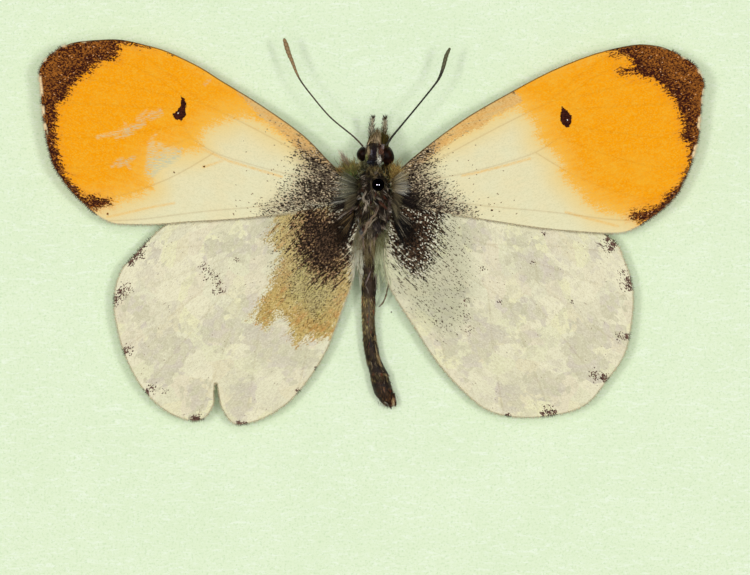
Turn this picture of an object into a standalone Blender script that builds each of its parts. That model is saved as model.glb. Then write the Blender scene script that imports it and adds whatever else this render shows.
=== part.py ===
"""Orange-winged butterfly, spread and pinned on a papered foam slab.

+X runs to the butterfly's right in plan view, +Y towards its head, +Z up. The
origin is the bottom centre of the slab. Sizes are in millimetres, and MM turns
them into metres. Heights of the butterfly are measured from the paper's top.
"""
import math

import bmesh
import bpy
from mathutils import Vector

MM = 0.001
FIT_GAP = 0.1           # clearance between pieces that touch on the real thing

# Slab and its lining paper
SLAB_LENGTH = 56.0
SLAB_WIDTH = 44.0
SLAB_THICK = 12.0
SLAB_CORNER = 1.0
PAPER_THICK = 0.25
PAPER_TOP = SLAB_THICK + FIT_GAP + PAPER_THICK

# Pin
PIN_X, PIN_Y = 0.21, 6.77
PIN_RADIUS = 0.21
PIN_LENGTH = 18.0
PIN_POINT = 1.6         # length of the tapered point
PIN_ABOVE_PAPER = 7.5
PIN_HEAD_RADIUS = 0.42
PIN_HEAD_GAP = 0.04     # shaft inside the head's bore

# Body
THORAX_CENTRE = (-0.15, 5.85, 2.9)
THORAX_HALF = (1.2, 2.25, 1.6)
HEAD_CENTRE = (-0.03, 8.97, 2.9)
HEAD_HALF = (0.82, 0.85, 0.9)
EYE_RADIUS = 0.52
EYE_CENTRES = {"left": (-0.76, 9.0, 2.85), "right": (0.72, 8.9, 2.85)}
# Abdomen: centre x, y, z and half width, sinking from the thorax to the paper
ABDOMEN_STATIONS = [
    (-0.40, 4.4, 2.50, 0.66), (-0.43, 3.1, 2.15, 0.62), (-0.43, 1.8, 1.80, 0.52),
    (-0.41, 0.5, 1.50, 0.49), (-0.44, -0.9, 1.25, 0.46), (-0.42, -2.85, 1.00, 0.42),
    (-0.31, -3.9, 0.90, 0.45), (-0.09, -4.95, 0.84, 0.48), (0.23, -5.8, 0.80, 0.58),
    (0.38, -6.4, 0.80, 0.61), (0.62, -7.1, 0.80, 0.58), (0.88, -7.7, 0.76, 0.42),
]

# Wings: both pairs sag outwards from a point over each shoulder, their tips raised
WING_THICK = 0.12
WING_ROOT = {"left": (-1.0, 6.5), "right": (1.0, 6.5)}
WING_ROOT_HEIGHT = 3.5
WING_LOW_HEIGHT = 1.7
WING_LOW_REACH = 14.3   # from the shoulder point to where the wing is lowest
HINDWING_DROP = 0.3     # hindwing below forewing where they overlap
WING_MESH_STEP = 2.5

# Forewing outlines: leading edge from the thorax, outer margin, trailing edge
FOREWING_LEFT = [
    (-0.9, 6.9), (-2.6, 8.15), (-4.7, 10.3), (-7.7, 12.45), (-10.3, 14.05),
    (-11.8, 15.0), (-13.9, 16.0), (-15.2, 16.4), (-17.0, 16.8), (-18.5, 16.8),
    (-20.55, 16.55), (-21.9, 15.75), (-22.5, 15.05), (-22.7, 14.4), (-22.6, 13.4),
    (-22.4, 11.0), (-21.85, 8.45), (-21.25, 7.4), (-20.55, 6.45), (-19.75, 5.65),
    (-18.95, 4.95), (-18.05, 4.4), (-17.1, 4.2), (-14.6, 4.2), (-12.8, 4.35),
    (-9.4, 4.55), (-5.7, 4.95), (-2.3, 5.5), (-0.9, 5.6),
]
FOREWING_RIGHT = [
    (0.8, 6.9), (1.7, 8.1), (3.7, 9.8), (6.2, 11.6), (9.05, 13.25), (11.8, 14.7),
    (14.7, 15.85), (17.3, 16.45), (18.6, 16.45), (19.7, 16.2), (20.75, 15.6),
    (21.65, 15.0), (22.25, 13.8), (22.1, 12.9), (21.9, 10.3), (21.5, 8.6),
    (20.6, 6.5), (19.8, 5.55), (18.85, 4.75), (17.3, 3.8), (16.15, 3.6),
    (14.5, 3.65), (11.1, 3.95), (7.1, 4.55), (3.0, 5.15), (0.8, 5.55),
]
# Hindwing outlines: edge under the forewing, outer margin, inner margin
HINDWING_LEFT = [
    (-0.9, 5.4), (-4.5, 6.4), (-8.5, 6.3), (-12.0, 5.5), (-14.0, 4.4),
    (-15.5, 3.1), (-16.25, 2.3), (-17.25, 1.05), (-17.7, -0.9), (-17.4, -3.05),
    (-16.7, -5.15), (-15.5, -7.15), (-13.95, -8.5), (-12.15, -9.1), (-11.35, -8.75),
    (-11.0, -8.2), (-10.83, -7.85), (-10.83, -7.2), (-10.76, -6.4), (-10.62, -7.2),
    (-10.5, -7.85), (-10.32, -8.3), (-9.95, -8.9), (-9.6, -9.2), (-9.05, -9.35),
    (-7.35, -8.8), (-5.65, -7.65), (-4.25, -5.95), (-3.1, -4.0), (-2.05, -1.25),
    (-1.45, 0.45), (-1.3, 2.0), (-1.32, 3.2), (-0.9, 4.3),
]
HINDWING_RIGHT = [
    (0.8, 5.4), (4.5, 6.3), (8.5, 6.1), (12.0, 5.3), (14.6, 4.1), (16.2, 3.2),
    (16.85, 2.0), (17.5, -0.2), (17.3, -2.95), (16.8, -4.75), (15.7, -6.3),
    (14.35, -7.9), (12.55, -8.6), (10.1, -8.85), (7.95, -8.5), (6.4, -7.5),
    (4.25, -5.2), (2.45, -2.45), (1.0, -0.15), (0.62, 1.2), (0.5, 2.6), (0.75, 4.3),
]

# Antennae: shaft from the crown of the head to the club; x, y, z and radius
ANTENNA_LEFT = [
    (-0.80, 9.45, 3.50, 0.060), (-1.48, 10.15, 3.45, 0.055), (-3.03, 11.45, 3.30, 0.050),
    (-4.38, 13.05, 3.10, 0.050), (-5.00, 13.90, 3.00, 0.055), (-5.30, 14.50, 2.92, 0.085),
    (-5.57, 15.20, 2.85, 0.120), (-5.80, 15.75, 2.80, 0.150), (-5.97, 16.30, 2.76, 0.160),
    (-6.12, 16.75, 2.73, 0.090),
]
ANTENNA_RIGHT = [
    (0.74, 9.50, 3.50, 0.085), (1.16, 10.12, 3.50, 0.075), (1.74, 10.82, 3.42, 0.062),
    (2.96, 12.30, 3.20, 0.060), (4.00, 13.60, 3.00, 0.065), (4.30, 14.05, 2.95, 0.085),
    (4.49, 14.50, 2.90, 0.110), (4.64, 15.00, 2.86, 0.135), (4.80, 15.60, 2.82, 0.135),
    (5.05, 16.10, 2.80, 0.080),
]
PALP_LEFT = [
    (-0.20, 9.35, 2.35, 0.15), (-0.22, 9.95, 2.33, 0.16), (-0.22, 10.50, 2.45, 0.17),
    (-0.18, 11.05, 2.65, 0.13), (-0.13, 11.45, 2.85, 0.07),
]
PALP_RIGHT = [
    (0.42, 9.35, 2.35, 0.15), (0.54, 9.90, 2.33, 0.16), (0.62, 10.50, 2.45, 0.17),
    (0.66, 11.05, 2.65, 0.13), (0.67, 11.45, 2.85, 0.07),
]

# Proboscis: a flat coil standing between the palps, under the face
PROBOSCIS_CENTRE = (0.18, 9.85, 1.75)
PROBOSCIS_TURNS = 2.25
PROBOSCIS_INNER = 0.12
PROBOSCIS_PITCH = 0.17
PROBOSCIS_RADIUS = 0.045

# Legs, one side; each next pair sits further back and a little wider
LEG_PAIRS = ("fore", "mid", "hind")
LEG_SPACING = 1.15
LEG_SPREAD = 0.5
LEG_STATIONS = [        # hip, trochanter, knee, ankle, toe
    (0.50, 7.1, 2.10, 0.12), (0.80, 7.1, 1.50, 0.12), (2.50, 7.3, 1.55, 0.09),
    (1.30, 4.9, 0.85, 0.07), (1.50, 2.6, 0.45, 0.05),
]
LEG_SPREADS_FROM = 2    # the hip and trochanter stay in line
# The right hind foot curls out beside the abdomen, from under the wing
LEG_HIND_RIGHT = [
    (0.45, 4.8, 2.10, 0.12), (0.75, 4.8, 1.50, 0.12), (2.40, 4.6, 1.55, 0.09),
    (1.35, 2.4, 1.25, 0.07), (0.98, 0.5, 1.00, 0.055), (0.91, 0.15, 0.95, 0.05),
    (0.83, -0.10, 0.92, 0.05), (0.78, -0.46, 0.88, 0.05), (0.53, -1.08, 0.80, 0.05),
    (0.25, -1.32, 0.75, 0.05),
]

# Colours, sRGB 0-255
PAPER_GREEN = (226, 242, 206)
FOAM_WHITE = (232, 233, 226)
PIN_STEEL = (60, 60, 62)
PIN_BLACK = (14, 14, 16)
WING_ORANGE = (248, 164, 26)
WING_CREAM = (218, 214, 178)
BODY_BROWN = (46, 38, 34)
EYE_BROWN = (52, 26, 20)
ANTENNA_BROWN = (96, 72, 52)
LEG_BROWN = (120, 104, 84)


def clear_scene():
    for old in list(bpy.data.objects):
        bpy.data.objects.remove(old, do_unlink=True)


def linear(channel):
    """One sRGB channel, 0-255, as a linear value."""
    c = channel / 255.0
    return c / 12.92 if c <= 0.04045 else ((c + 0.055) / 1.055) ** 2.4


def material(name, srgb, roughness, metallic=0.0):
    mat = bpy.data.materials.new(name + "_mat")
    mat.use_nodes = True
    shader = mat.node_tree.nodes["Principled BSDF"]
    shader.inputs["Base Color"].default_value = [linear(c) for c in srgb] + [1.0]
    shader.inputs["Roughness"].default_value = roughness
    shader.inputs["Metallic"].default_value = metallic
    return mat


def add_object(name, mesh, srgb=None, roughness=0.6, metallic=0.0):
    """A scene object from a mesh; one with no colour is a cutter."""
    obj = bpy.data.objects.new(name, mesh)
    bpy.context.collection.objects.link(obj)
    if srgb is None:
        obj.hide_render = True
        obj.display_type = "WIRE"
    else:
        mesh.materials.append(material(name, srgb, roughness, metallic))
    return obj


def mesh_from(bm, name, smooth_angle=None):
    """Close a bmesh into a mesh, smooth up to smooth_angle degrees."""
    mesh = bpy.data.meshes.new(name)
    bm.to_mesh(mesh)
    bm.free()
    if smooth_angle is not None:
        mesh.shade_smooth()
        mesh.set_sharp_from_angle(angle=math.radians(smooth_angle))
    return mesh


def lifted(point):
    """Millimetres above the paper's top as metres in the part's frame."""
    return Vector((point[0] * MM, point[1] * MM, (PAPER_TOP + point[2]) * MM))


def ellipsoid_mesh(name, half_sizes, segments, rings):
    bm = bmesh.new()
    bmesh.ops.create_uvsphere(bm, u_segments=segments, v_segments=rings, radius=1.0)
    bmesh.ops.scale(bm, vec=Vector(half_sizes) * MM, verts=bm.verts)
    return mesh_from(bm, name, smooth_angle=60)


def cut(target, cutter):
    boolean = target.modifiers.new("Cut_" + cutter.name, "BOOLEAN")
    boolean.operation = "DIFFERENCE"
    boolean.solver = "EXACT"
    boolean.object = cutter


def curve_through(points, steps, closed=False):
    """Catmull-Rom curve through the points, of any number of coordinates."""
    count = len(points)
    spans = count if closed else count - 1
    curve = []
    for i in range(spans):
        p0 = points[(i - 1) % count if closed else max(i - 1, 0)]
        p1 = points[i]
        p2 = points[(i + 1) % count]
        p3 = points[(i + 2) % count if closed else min(i + 2, count - 1)]
        for k in range(steps):
            t = k / steps
            curve.append(tuple(spline_value(a, b, c, d, t) for a, b, c, d in zip(p0, p1, p2, p3)))
    if not closed:
        curve.append(tuple(points[-1]))
    return curve


def spline_value(a, b, c, d, t):
    linear_term = (c - a) * t
    square_term = (2 * a - 5 * b + 4 * c - d) * t * t
    cubic_term = (3 * b - a - 3 * c + d) * t ** 3
    return b + 0.5 * (linear_term + square_term + cubic_term)


def tube_mesh(name, stations, bevel_resolution=2):
    """Round tube through (x, y, z, radius) stations, closed by flat caps."""
    curve = bpy.data.curves.new(name + "_path", "CURVE")
    curve.dimensions = "3D"
    curve.bevel_depth = MM
    curve.bevel_resolution = bevel_resolution
    curve.use_fill_caps = True
    spline = curve.splines.new("POLY")
    spline.points.add(len(stations) - 1)
    for point, station in zip(spline.points, stations):
        point.co = (*lifted(station), 1.0)
        point.radius = station[3]
    path = bpy.data.objects.new(name + "_path", curve)
    bpy.context.collection.objects.link(path)
    raw = bpy.data.meshes.new_from_object(path)
    bpy.data.objects.remove(path, do_unlink=True)
    bm = bmesh.new()
    bm.from_mesh(raw)
    bmesh.ops.remove_doubles(bm, verts=bm.verts, dist=0.001 * MM)
    bmesh.ops.recalc_face_normals(bm, faces=bm.faces)
    return mesh_from(bm, name, smooth_angle=60)


def rounded_plate_mesh(name, length, width, thick, corner):
    """A flat plate standing on z = 0, its upright corners rounded."""
    bm = bmesh.new()
    bmesh.ops.create_cube(bm, size=1.0)
    bmesh.ops.scale(bm, vec=Vector((length, width, thick)) * MM, verts=bm.verts)
    bmesh.ops.translate(bm, vec=(0.0, 0.0, thick * MM / 2), verts=bm.verts)
    upright = [e for e in bm.edges if abs(e.verts[0].co.z - e.verts[1].co.z) > thick * MM / 2]
    bmesh.ops.bevel(bm, geom=upright, offset=corner * MM, segments=5, profile=0.5, affect="EDGES")
    return mesh_from(bm, name)


def cylinder_mesh(name, radius, bottom, top, segments=24):
    bm = bmesh.new()
    bmesh.ops.create_cone(bm, cap_ends=True, segments=segments, radius1=radius * MM,
                          radius2=radius * MM, depth=(top - bottom) * MM)
    bmesh.ops.translate(bm, vec=(0.0, 0.0, (top + bottom) * MM / 2), verts=bm.verts)
    return mesh_from(bm, name, smooth_angle=40)


def pin_hole(bottom, top):
    """Cutter for the hole that the pin has made, between two heights."""
    mesh = cylinder_mesh("pin_hole", PIN_RADIUS + FIT_GAP, bottom, top)
    cutter = add_object("pin_hole", mesh)
    cutter.location = (PIN_X * MM, PIN_Y * MM, 0.0)
    return cutter


def build_slab():
    pin_bottom = PAPER_TOP + PIN_ABOVE_PAPER - PIN_LENGTH
    hole = pin_hole(pin_bottom - FIT_GAP, PAPER_TOP + 30.0)
    foam = rounded_plate_mesh("foam_slab", SLAB_LENGTH, SLAB_WIDTH, SLAB_THICK, SLAB_CORNER)
    slab = add_object("foam_slab", foam, FOAM_WHITE, roughness=0.9)
    cut(slab, hole)
    paper = rounded_plate_mesh("lining_paper", SLAB_LENGTH, SLAB_WIDTH, PAPER_THICK, SLAB_CORNER)
    sheet = add_object("lining_paper", paper, PAPER_GREEN, roughness=0.85)
    sheet.location.z = (SLAB_THICK + FIT_GAP) * MM
    cut(sheet, hole)
    return hole


def build_pin():
    bm = bmesh.new()
    straight = PIN_LENGTH - PIN_POINT
    bmesh.ops.create_cone(bm, cap_ends=True, segments=16, radius1=PIN_RADIUS * MM,
                          radius2=PIN_RADIUS * MM, depth=straight * MM)
    bmesh.ops.translate(bm, vec=(0.0, 0.0, -straight * MM / 2), verts=bm.verts)
    bottom = min(bm.faces, key=lambda f: f.calc_center_median().z)
    tip = bmesh.ops.extrude_discrete_faces(bm, faces=[bottom])["faces"][0]
    bmesh.ops.translate(bm, vec=(0.0, 0.0, -PIN_POINT * MM), verts=tip.verts)
    bmesh.ops.scale(bm, vec=(0.08, 0.08, 1.0), verts=tip.verts)
    shaft = add_object("pin_shaft", mesh_from(bm, "pin_shaft", smooth_angle=40),
                       PIN_STEEL, roughness=0.35, metallic=0.9)
    shaft.location = lifted((PIN_X, PIN_Y, PIN_ABOVE_PAPER))

    bore_radius = PIN_RADIUS + PIN_HEAD_GAP
    bore = add_object("head_bore", cylinder_mesh("head_bore", bore_radius, -1.0, PIN_HEAD_GAP, 16))
    bore.location = shaft.location
    ball = ellipsoid_mesh("pin_head", (PIN_HEAD_RADIUS,) * 3, 20, 12)
    head = add_object("pin_head", ball, PIN_BLACK, roughness=0.15)
    head.location = shaft.location
    cut(head, bore)


def grown_socket(name, centre, half_sizes, segments, rings):
    """A body part grown by the fit gap: it trims whatever meets that part."""
    grown = [half + FIT_GAP for half in half_sizes]
    socket = add_object(name, ellipsoid_mesh(name, grown, segments, rings))
    socket.location = lifted(centre)
    return socket


def build_body(hole, socket):
    thorax = add_object("thorax", ellipsoid_mesh("thorax", THORAX_HALF, 28, 18), BODY_BROWN)
    thorax.location = lifted(THORAX_CENTRE)
    cut(thorax, hole)

    mesh = tube_mesh("abdomen", curve_through(ABDOMEN_STATIONS, 3), bevel_resolution=4)
    abdomen = add_object("abdomen", mesh, BODY_BROWN)
    cut(abdomen, socket)

    head = add_object("head", ellipsoid_mesh("head", HEAD_HALF, 22, 14), BODY_BROWN)
    head.location = lifted(HEAD_CENTRE)
    cut(head, socket)
    for side, centre in EYE_CENTRES.items():
        mesh = ellipsoid_mesh("eye_" + side, (EYE_RADIUS,) * 3, 18, 12)
        eye = add_object("eye_" + side, mesh, EYE_BROWN, roughness=0.25)
        eye.location = lifted(centre)
        cut(head, grown_socket("eye_socket_" + side, centre, (EYE_RADIUS,) * 3, 18, 12))


def wing_height(x, y, side, drop):
    root_x, root_y = WING_ROOT[side]
    reach = math.hypot(x - root_x, y - root_y) / WING_LOW_REACH
    return WING_LOW_HEIGHT + (WING_ROOT_HEIGHT - WING_LOW_HEIGHT) * (1.0 - reach) ** 2 - drop


def slice_along(bm, axis, low, high):
    """Cut a flat face with evenly spaced planes, so that it can be curved."""
    normal = Vector([1.0 if k == axis else 0.0 for k in range(3)])
    for k in range(math.ceil(low / WING_MESH_STEP), math.floor(high / WING_MESH_STEP) + 1):
        geometry = bm.verts[:] + bm.edges[:] + bm.faces[:]
        bmesh.ops.bisect_plane(bm, geom=geometry, dist=0.0001 * MM,
                               plane_co=normal * k * WING_MESH_STEP * MM, plane_no=normal)


def build_wing(name, outline, side, drop, srgb, socket):
    curve = curve_through(outline, 3, closed=True)
    if side == "right":
        curve.reverse()
    bm = bmesh.new()
    bm.faces.new([bm.verts.new((x * MM, y * MM, 0.0)) for x, y in curve])
    slice_along(bm, 0, min(x for x, y in curve), max(x for x, y in curve))
    slice_along(bm, 1, min(y for x, y in curve), max(y for x, y in curve))
    bmesh.ops.triangulate(bm, faces=bm.faces)
    for vertex in bm.verts:
        height = wing_height(vertex.co.x / MM, vertex.co.y / MM, side, drop)
        vertex.co.z = (PAPER_TOP + height) * MM
    wing = add_object(name, mesh_from(bm, name, smooth_angle=40), srgb, roughness=0.8)
    solid = wing.modifiers.new("Thickness", "SOLIDIFY")
    solid.thickness = WING_THICK * MM
    solid.offset = 0.0
    cut(wing, socket)


def build_wings(socket):
    build_wing("forewing_left", FOREWING_LEFT, "left", 0.0, WING_ORANGE, socket)
    build_wing("forewing_right", FOREWING_RIGHT, "right", 0.0, WING_ORANGE, socket)
    build_wing("hindwing_left", HINDWING_LEFT, "left", HINDWING_DROP, WING_CREAM, socket)
    build_wing("hindwing_right", HINDWING_RIGHT, "right", HINDWING_DROP, WING_CREAM, socket)


def proboscis_stations():
    """A spiral in the plane across x, from the mouth at its outer end inwards."""
    x, y, z = PROBOSCIS_CENTRE
    outer = PROBOSCIS_INNER + PROBOSCIS_TURNS * PROBOSCIS_PITCH
    steps = int(PROBOSCIS_TURNS * 16)
    stations = []
    for k in range(steps + 1):
        angle = math.pi / 2 - 2 * math.pi * PROBOSCIS_TURNS * k / steps
        radius = outer + (PROBOSCIS_INNER - outer) * k / steps
        stations.append((x, y + radius * math.cos(angle), z + radius * math.sin(angle),
                         PROBOSCIS_RADIUS))
    return stations


def build_mouth_and_antennae(face_socket):
    pieces = (("antenna_left", ANTENNA_LEFT, ANTENNA_BROWN), ("palp_left", PALP_LEFT, LEG_BROWN),
              ("antenna_right", ANTENNA_RIGHT, BODY_BROWN), ("palp_right", PALP_RIGHT, LEG_BROWN))
    for name, stations, srgb in pieces:
        piece = add_object(name, tube_mesh(name, curve_through(stations, 2)), srgb)
        cut(piece, face_socket)
    coil = tube_mesh("proboscis", proboscis_stations(), 1)
    cut(add_object("proboscis", coil, ANTENNA_BROWN), face_socket)


def leg_stations(pair, mirror):
    stations = []
    for index, (x, y, z, radius) in enumerate(LEG_STATIONS):
        wider = LEG_SPREAD * pair if index >= LEG_SPREADS_FROM else 0.0
        stations.append((THORAX_CENTRE[0] + mirror * (x + wider), y - LEG_SPACING * pair,
                         z, radius))
    return stations


def build_legs(socket):
    for pair, pair_name in enumerate(LEG_PAIRS):
        for side, mirror in (("left", -1.0), ("right", 1.0)):
            name = "leg_" + pair_name + "_" + side
            stations = LEG_HIND_RIGHT if name == "leg_hind_right" else leg_stations(pair, mirror)
            leg = add_object(name, tube_mesh(name, stations, 1), LEG_BROWN)
            cut(leg, socket)


def main():
    clear_scene()
    hole = build_slab()
    build_pin()
    socket = grown_socket("thorax_socket", THORAX_CENTRE, THORAX_HALF, 28, 18)
    build_body(hole, socket)
    build_wings(socket)
    build_mouth_and_antennae(grown_socket("face_socket", HEAD_CENTRE, HEAD_HALF, 22, 14))
    build_legs(socket)


main()
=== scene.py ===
"""Looks of a spread orange-winged butterfly on a pin over papered foam.

Plan sizes are in millimetres from the middle of the slab, +X to the butterfly's
right and +Y towards its head. Heights are measured from the paper's top. MM turns
them into the metres of the fixed frame, which this script loads and builds around.
"""
import math

import bmesh
import bpy
import numpy as np
from bpy.props import FloatProperty, FloatVectorProperty, IntProperty, PointerProperty
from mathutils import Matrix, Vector
from mathutils.geometry import delaunay_2d_cdt


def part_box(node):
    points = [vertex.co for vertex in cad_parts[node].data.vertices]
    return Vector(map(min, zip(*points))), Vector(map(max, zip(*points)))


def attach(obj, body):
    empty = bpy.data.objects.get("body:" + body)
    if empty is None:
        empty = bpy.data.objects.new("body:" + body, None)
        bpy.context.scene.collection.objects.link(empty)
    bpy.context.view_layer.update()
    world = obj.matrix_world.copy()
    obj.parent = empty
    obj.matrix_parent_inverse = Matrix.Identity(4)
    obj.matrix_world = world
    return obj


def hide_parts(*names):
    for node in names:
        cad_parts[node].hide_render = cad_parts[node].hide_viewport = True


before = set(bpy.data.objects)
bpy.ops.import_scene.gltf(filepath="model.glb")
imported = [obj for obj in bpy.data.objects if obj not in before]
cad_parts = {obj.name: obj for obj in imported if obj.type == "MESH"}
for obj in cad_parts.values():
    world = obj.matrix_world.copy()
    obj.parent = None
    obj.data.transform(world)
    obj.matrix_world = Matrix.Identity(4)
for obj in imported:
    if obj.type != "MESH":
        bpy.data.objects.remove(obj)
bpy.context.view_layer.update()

bl_info = {
    "name": "Pinned butterfly specimen",
    "version": (1, 0, 0),
    "blender": (4, 5, 0),
    "location": "3D View > Sidebar > Specimen",
    "description": "Scaled wings, furred body, pin and papered foam of a spread butterfly",
    "category": "Add Mesh",
}

MM = 0.001
FAR = 1e3                # mm, beyond anything on the specimen
PAPER_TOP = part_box("lining_paper")[1].z / MM
SIDES = ("left", "right")
MIRROR = {"left": -1.0, "right": 1.0}
SEED = {"coat": 7, "fringes": 40, "palps": 60, "legs": 70}


def tone(red, green, blue):
    """An sRGB colour, 0-255, as the linear colour that materials use."""
    levels = [channel / 255.0 for channel in (red, green, blue)]
    return tuple(c / 12.92 if c <= 0.04045 else ((c + 0.055) / 1.055) ** 2.4 for c in levels)


# ---------------------------------------------------------------- wing layout
WING_ROOT = {"left": (-1.0, 6.5), "right": (1.0, 6.5)}
WING_ROOT_HEIGHT = 3.5
WING_LOW_HEIGHT = 1.7
WING_LOW_REACH = 14.3
HINDWING_DROP = 0.3
MEMBRANE = 0.08          # thickness of a wing with its scales
WING_GRID = 0.085        # spacing of a wing's mesh points
RIM_GAP = 0.6            # least gap between rim and points, in steps of that spacing
VEIN_GAP = 0.55          # and between veins and points
WELD = 0.002             # points of the loaded wings closer than this are one
LEAST_UPWARD = 0.3       # their faces whose normals point up more than this are the top
RIM_SOFTNESS = 0.09      # rounding of a wing's rim
VEIN_RIDGE = 0.035       # height of a vein's ridge
VEIN_REACH = 0.07        # and how far it spreads
SCALE_DISORDER = 0.75    # how far scales stray from their rows, 0-1
FRINGE_INSET = 0.11      # membrane edge behind the tips of the fringe
FRINGE_STEP = 0.011      # from one hair of the fringe to the next
FRINGE_START = 4.5       # the fringe keeps this far from the wing's root
FRINGE_OFF_COSTA = 0.35  # and this far from the leading edge
FOREWING_AXIS = math.radians(15.0)       # lengthwise direction of each wing
HINDWING_AXIS = math.radians(-42.0)

# Leading edges, and the colour zones of each wing as outlines
COSTA = {
    "left": [(-2.6, 8.2), (-4.7, 10.3), (-7.7, 12.45), (-10.3, 14.05), (-13.9, 16.0),
             (-17.0, 16.8), (-18.9, 16.8), (-20.55, 16.55)],
    "right": [(1.7, 8.1), (3.7, 9.8), (6.2, 11.6), (9.05, 13.25), (11.8, 14.7),
              (14.7, 15.85), (17.3, 16.45), (19.75, 16.2)],
}
ORANGE_ZONE = {
    "left": [(-2.5, 8.6), (-5.1, 9.9), (-7.2, 11.2), (-8.8, 11.9), (-9.8, 11.6), (-11.2, 11.1),
             (-11.9, 10.5), (-12.1, 9.5), (-14, 9.3), (-15.2, 8.7), (-15.4, 7.5), (-15.3, 6.8),
             (-16.8, 6.2), (-17.7, 5.9), (-18.9, 5.6), (-21.2, 4.9), (-23.9, 9.3),
             (-23.6, 15.3), (-18.5, 17.7), (-13.1, 16.7), (-9.1, 14), (-2, 9.2)],
    "right": [(1.8, 8.8), (4.4, 10.2), (7.1, 11.5), (8.6, 12.2), (9.6, 12.4), (11, 11.3),
              (11.3, 10.2), (12, 9.5), (12.7, 8.7), (12.9, 7.6), (13.7, 6.8), (14.3, 6.1),
              (15.2, 5.5), (16.4, 5.15), (17.5, 4.9), (18.5, 3.7), (21.2, 5.2), (23.6, 10.6),
              (22.9, 15.3), (19.2, 17.4), (15.2, 16.7), (9.8, 14.6), (1.3, 9.2)],
}
APEX_ZONE = {
    "left": [(-14.8, 17.1), (-15.2, 16.3), (-16.6, 16.4), (-17.3, 16.3), (-17.3, 15.5),
             (-18.1, 15.3), (-18.9, 15.1), (-19.2, 14.5), (-20.1, 14), (-20.6, 13.1),
             (-21.4, 12.2), (-21.4, 11.4), (-21.5, 10.4), (-21.4, 9.6), (-21.2, 8.8),
             (-21, 7.9), (-20.65, 7.4), (-20.2, 6.8), (-19.8, 6.4), (-19.3, 6.1), (-18.7, 6.1),
             (-18.0, 6.05), (-17.9, 5.55), (-18.6, 5.2), (-19.4, 5.2), (-21.2, 6.0), (-23.6, 9.3),
             (-23.8, 15.3), (-18.5, 17.9)],
    "right": [(14.9, 16.8), (15.7, 15.95), (17.4, 15.3), (17.4, 14.95), (16.3, 14.75),
              (16.3, 14.55), (17.6, 14.4), (18.8, 14.0), (19.9, 13.0), (20.5, 12.0), (20.85, 11.0),
              (20.5, 10.4), (21.05, 9.7), (21.25, 8.8), (21.0, 8.0), (20.7, 7.3), (20.15, 6.6),
              (19.45, 5.95), (18.9, 5.5), (18.3, 5.3), (17.4, 5.15), (17.2, 4.75), (18.0, 4.45),
              (18.8, 4.5), (19.8, 5.2), (21.6, 6.7), (22.9, 9.9), (23.6, 14), (20.6, 17.4)],
}
COSTAL_STRIP = {
    "left": [(-9.4, 13.3), (-8.4, 12.1), (-7.35, 11.15), (-6.3, 10.4), (-5.5, 9.5),
             (-4.4, 8.6), (-2.7, 7.5), (-1.8, 8.2), (-5.05, 11.3), (-7.6, 13.4)],
    "right": [(2.35, 7.5), (3.4, 8.4), (5.3, 9.95), (7.15, 10.8), (8.0, 11.5), (9.6, 12.3),
              (10.0, 12.55), (9.3, 13.5), (6.4, 12.3), (1.7, 8.5)],
}
FOREWING_DUST = {
    "left": [(-5.3, 10.1), (-5.5, 9.3), (-5.3, 8.1), (-6, 6.8), (-7.6, 5.4), (-7.6, 4.8),
             (-5.1, 4.4), (-1, 4.4), (-1, 9.3), (-3, 9.3)],
    "right": [(4.4, 10.7), (4.4, 9.6), (4.1, 8.7), (4.2, 7.8), (5.1, 6.6), (6.7, 5.2),
              (6.4, 4.3), (3.7, 4), (0.3, 4.4), (0.3, 8.6), (2.4, 9.9)],
}
CELL_SPOT = {
    "left": [(-13.14, 12.97), (-12.8, 12.84), (-12.67, 12.23), (-12.7, 11.62), (-13.07, 11.22),
             (-13.54, 11.29), (-13.71, 11.69), (-13.41, 11.96), (-13.21, 12.3)],
    "right": [(12.53, 12.3), (12.8, 12.23), (13.01, 11.89), (13.27, 11.56), (13.34, 11.15),
              (13.07, 10.68), (12.74, 10.82), (12.47, 11.08), (12.43, 11.56), (12.53, 11.89)],
}
SPOT_FLECK = {"left": (-13.27, 11.76, 0.1), "right": (12.97, 11.29, 0.1)}
WORN_PATCH = [(-15.3, 9.9), (-14.7, 9.8), (-14.0, 9.5), (-13.0, 9.4), (-13.2, 8.6), (-14.4, 8.0),
              (-15, 7.4), (-15.5, 7.7), (-15.4, 8.6)]
# Scratches in the left forewing's scales: both ends and the width
SCRATCHES = [
    (-16.04, 11.35, -15.43, 11.89, 0.08), (-15.84, 11.22, -15.03, 11.83, 0.07),
    (-15.36, 11.56, -14.49, 11.96, 0.07), (-15.16, 11.35, -14.35, 11.69, 0.06),
    (-16.44, 10.88, -15.57, 11.02, 0.09), (-17.18, 10.61, -15.84, 10.82, 0.09),
    (-17.86, 10.34, -16.64, 10.61, 0.1), (-18.67, 10.14, -17.59, 10.41, 0.08),
    (-17.45, 10.07, -16.37, 10.41, 0.07), (-16.91, 11.08, -16.64, 10.68, 0.06),
    (-17.72, 8.19, -17.05, 8.73, 0.07), (-17.32, 8.19, -16.24, 8.79, 0.08),
    (-16.78, 8.39, -16.51, 8.05, 0.05), (-15.16, 9.94, -14.76, 10.34, 0.05),
    (-11.46, 13.71, -11.19, 13.98, 0.05),
]
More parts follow.
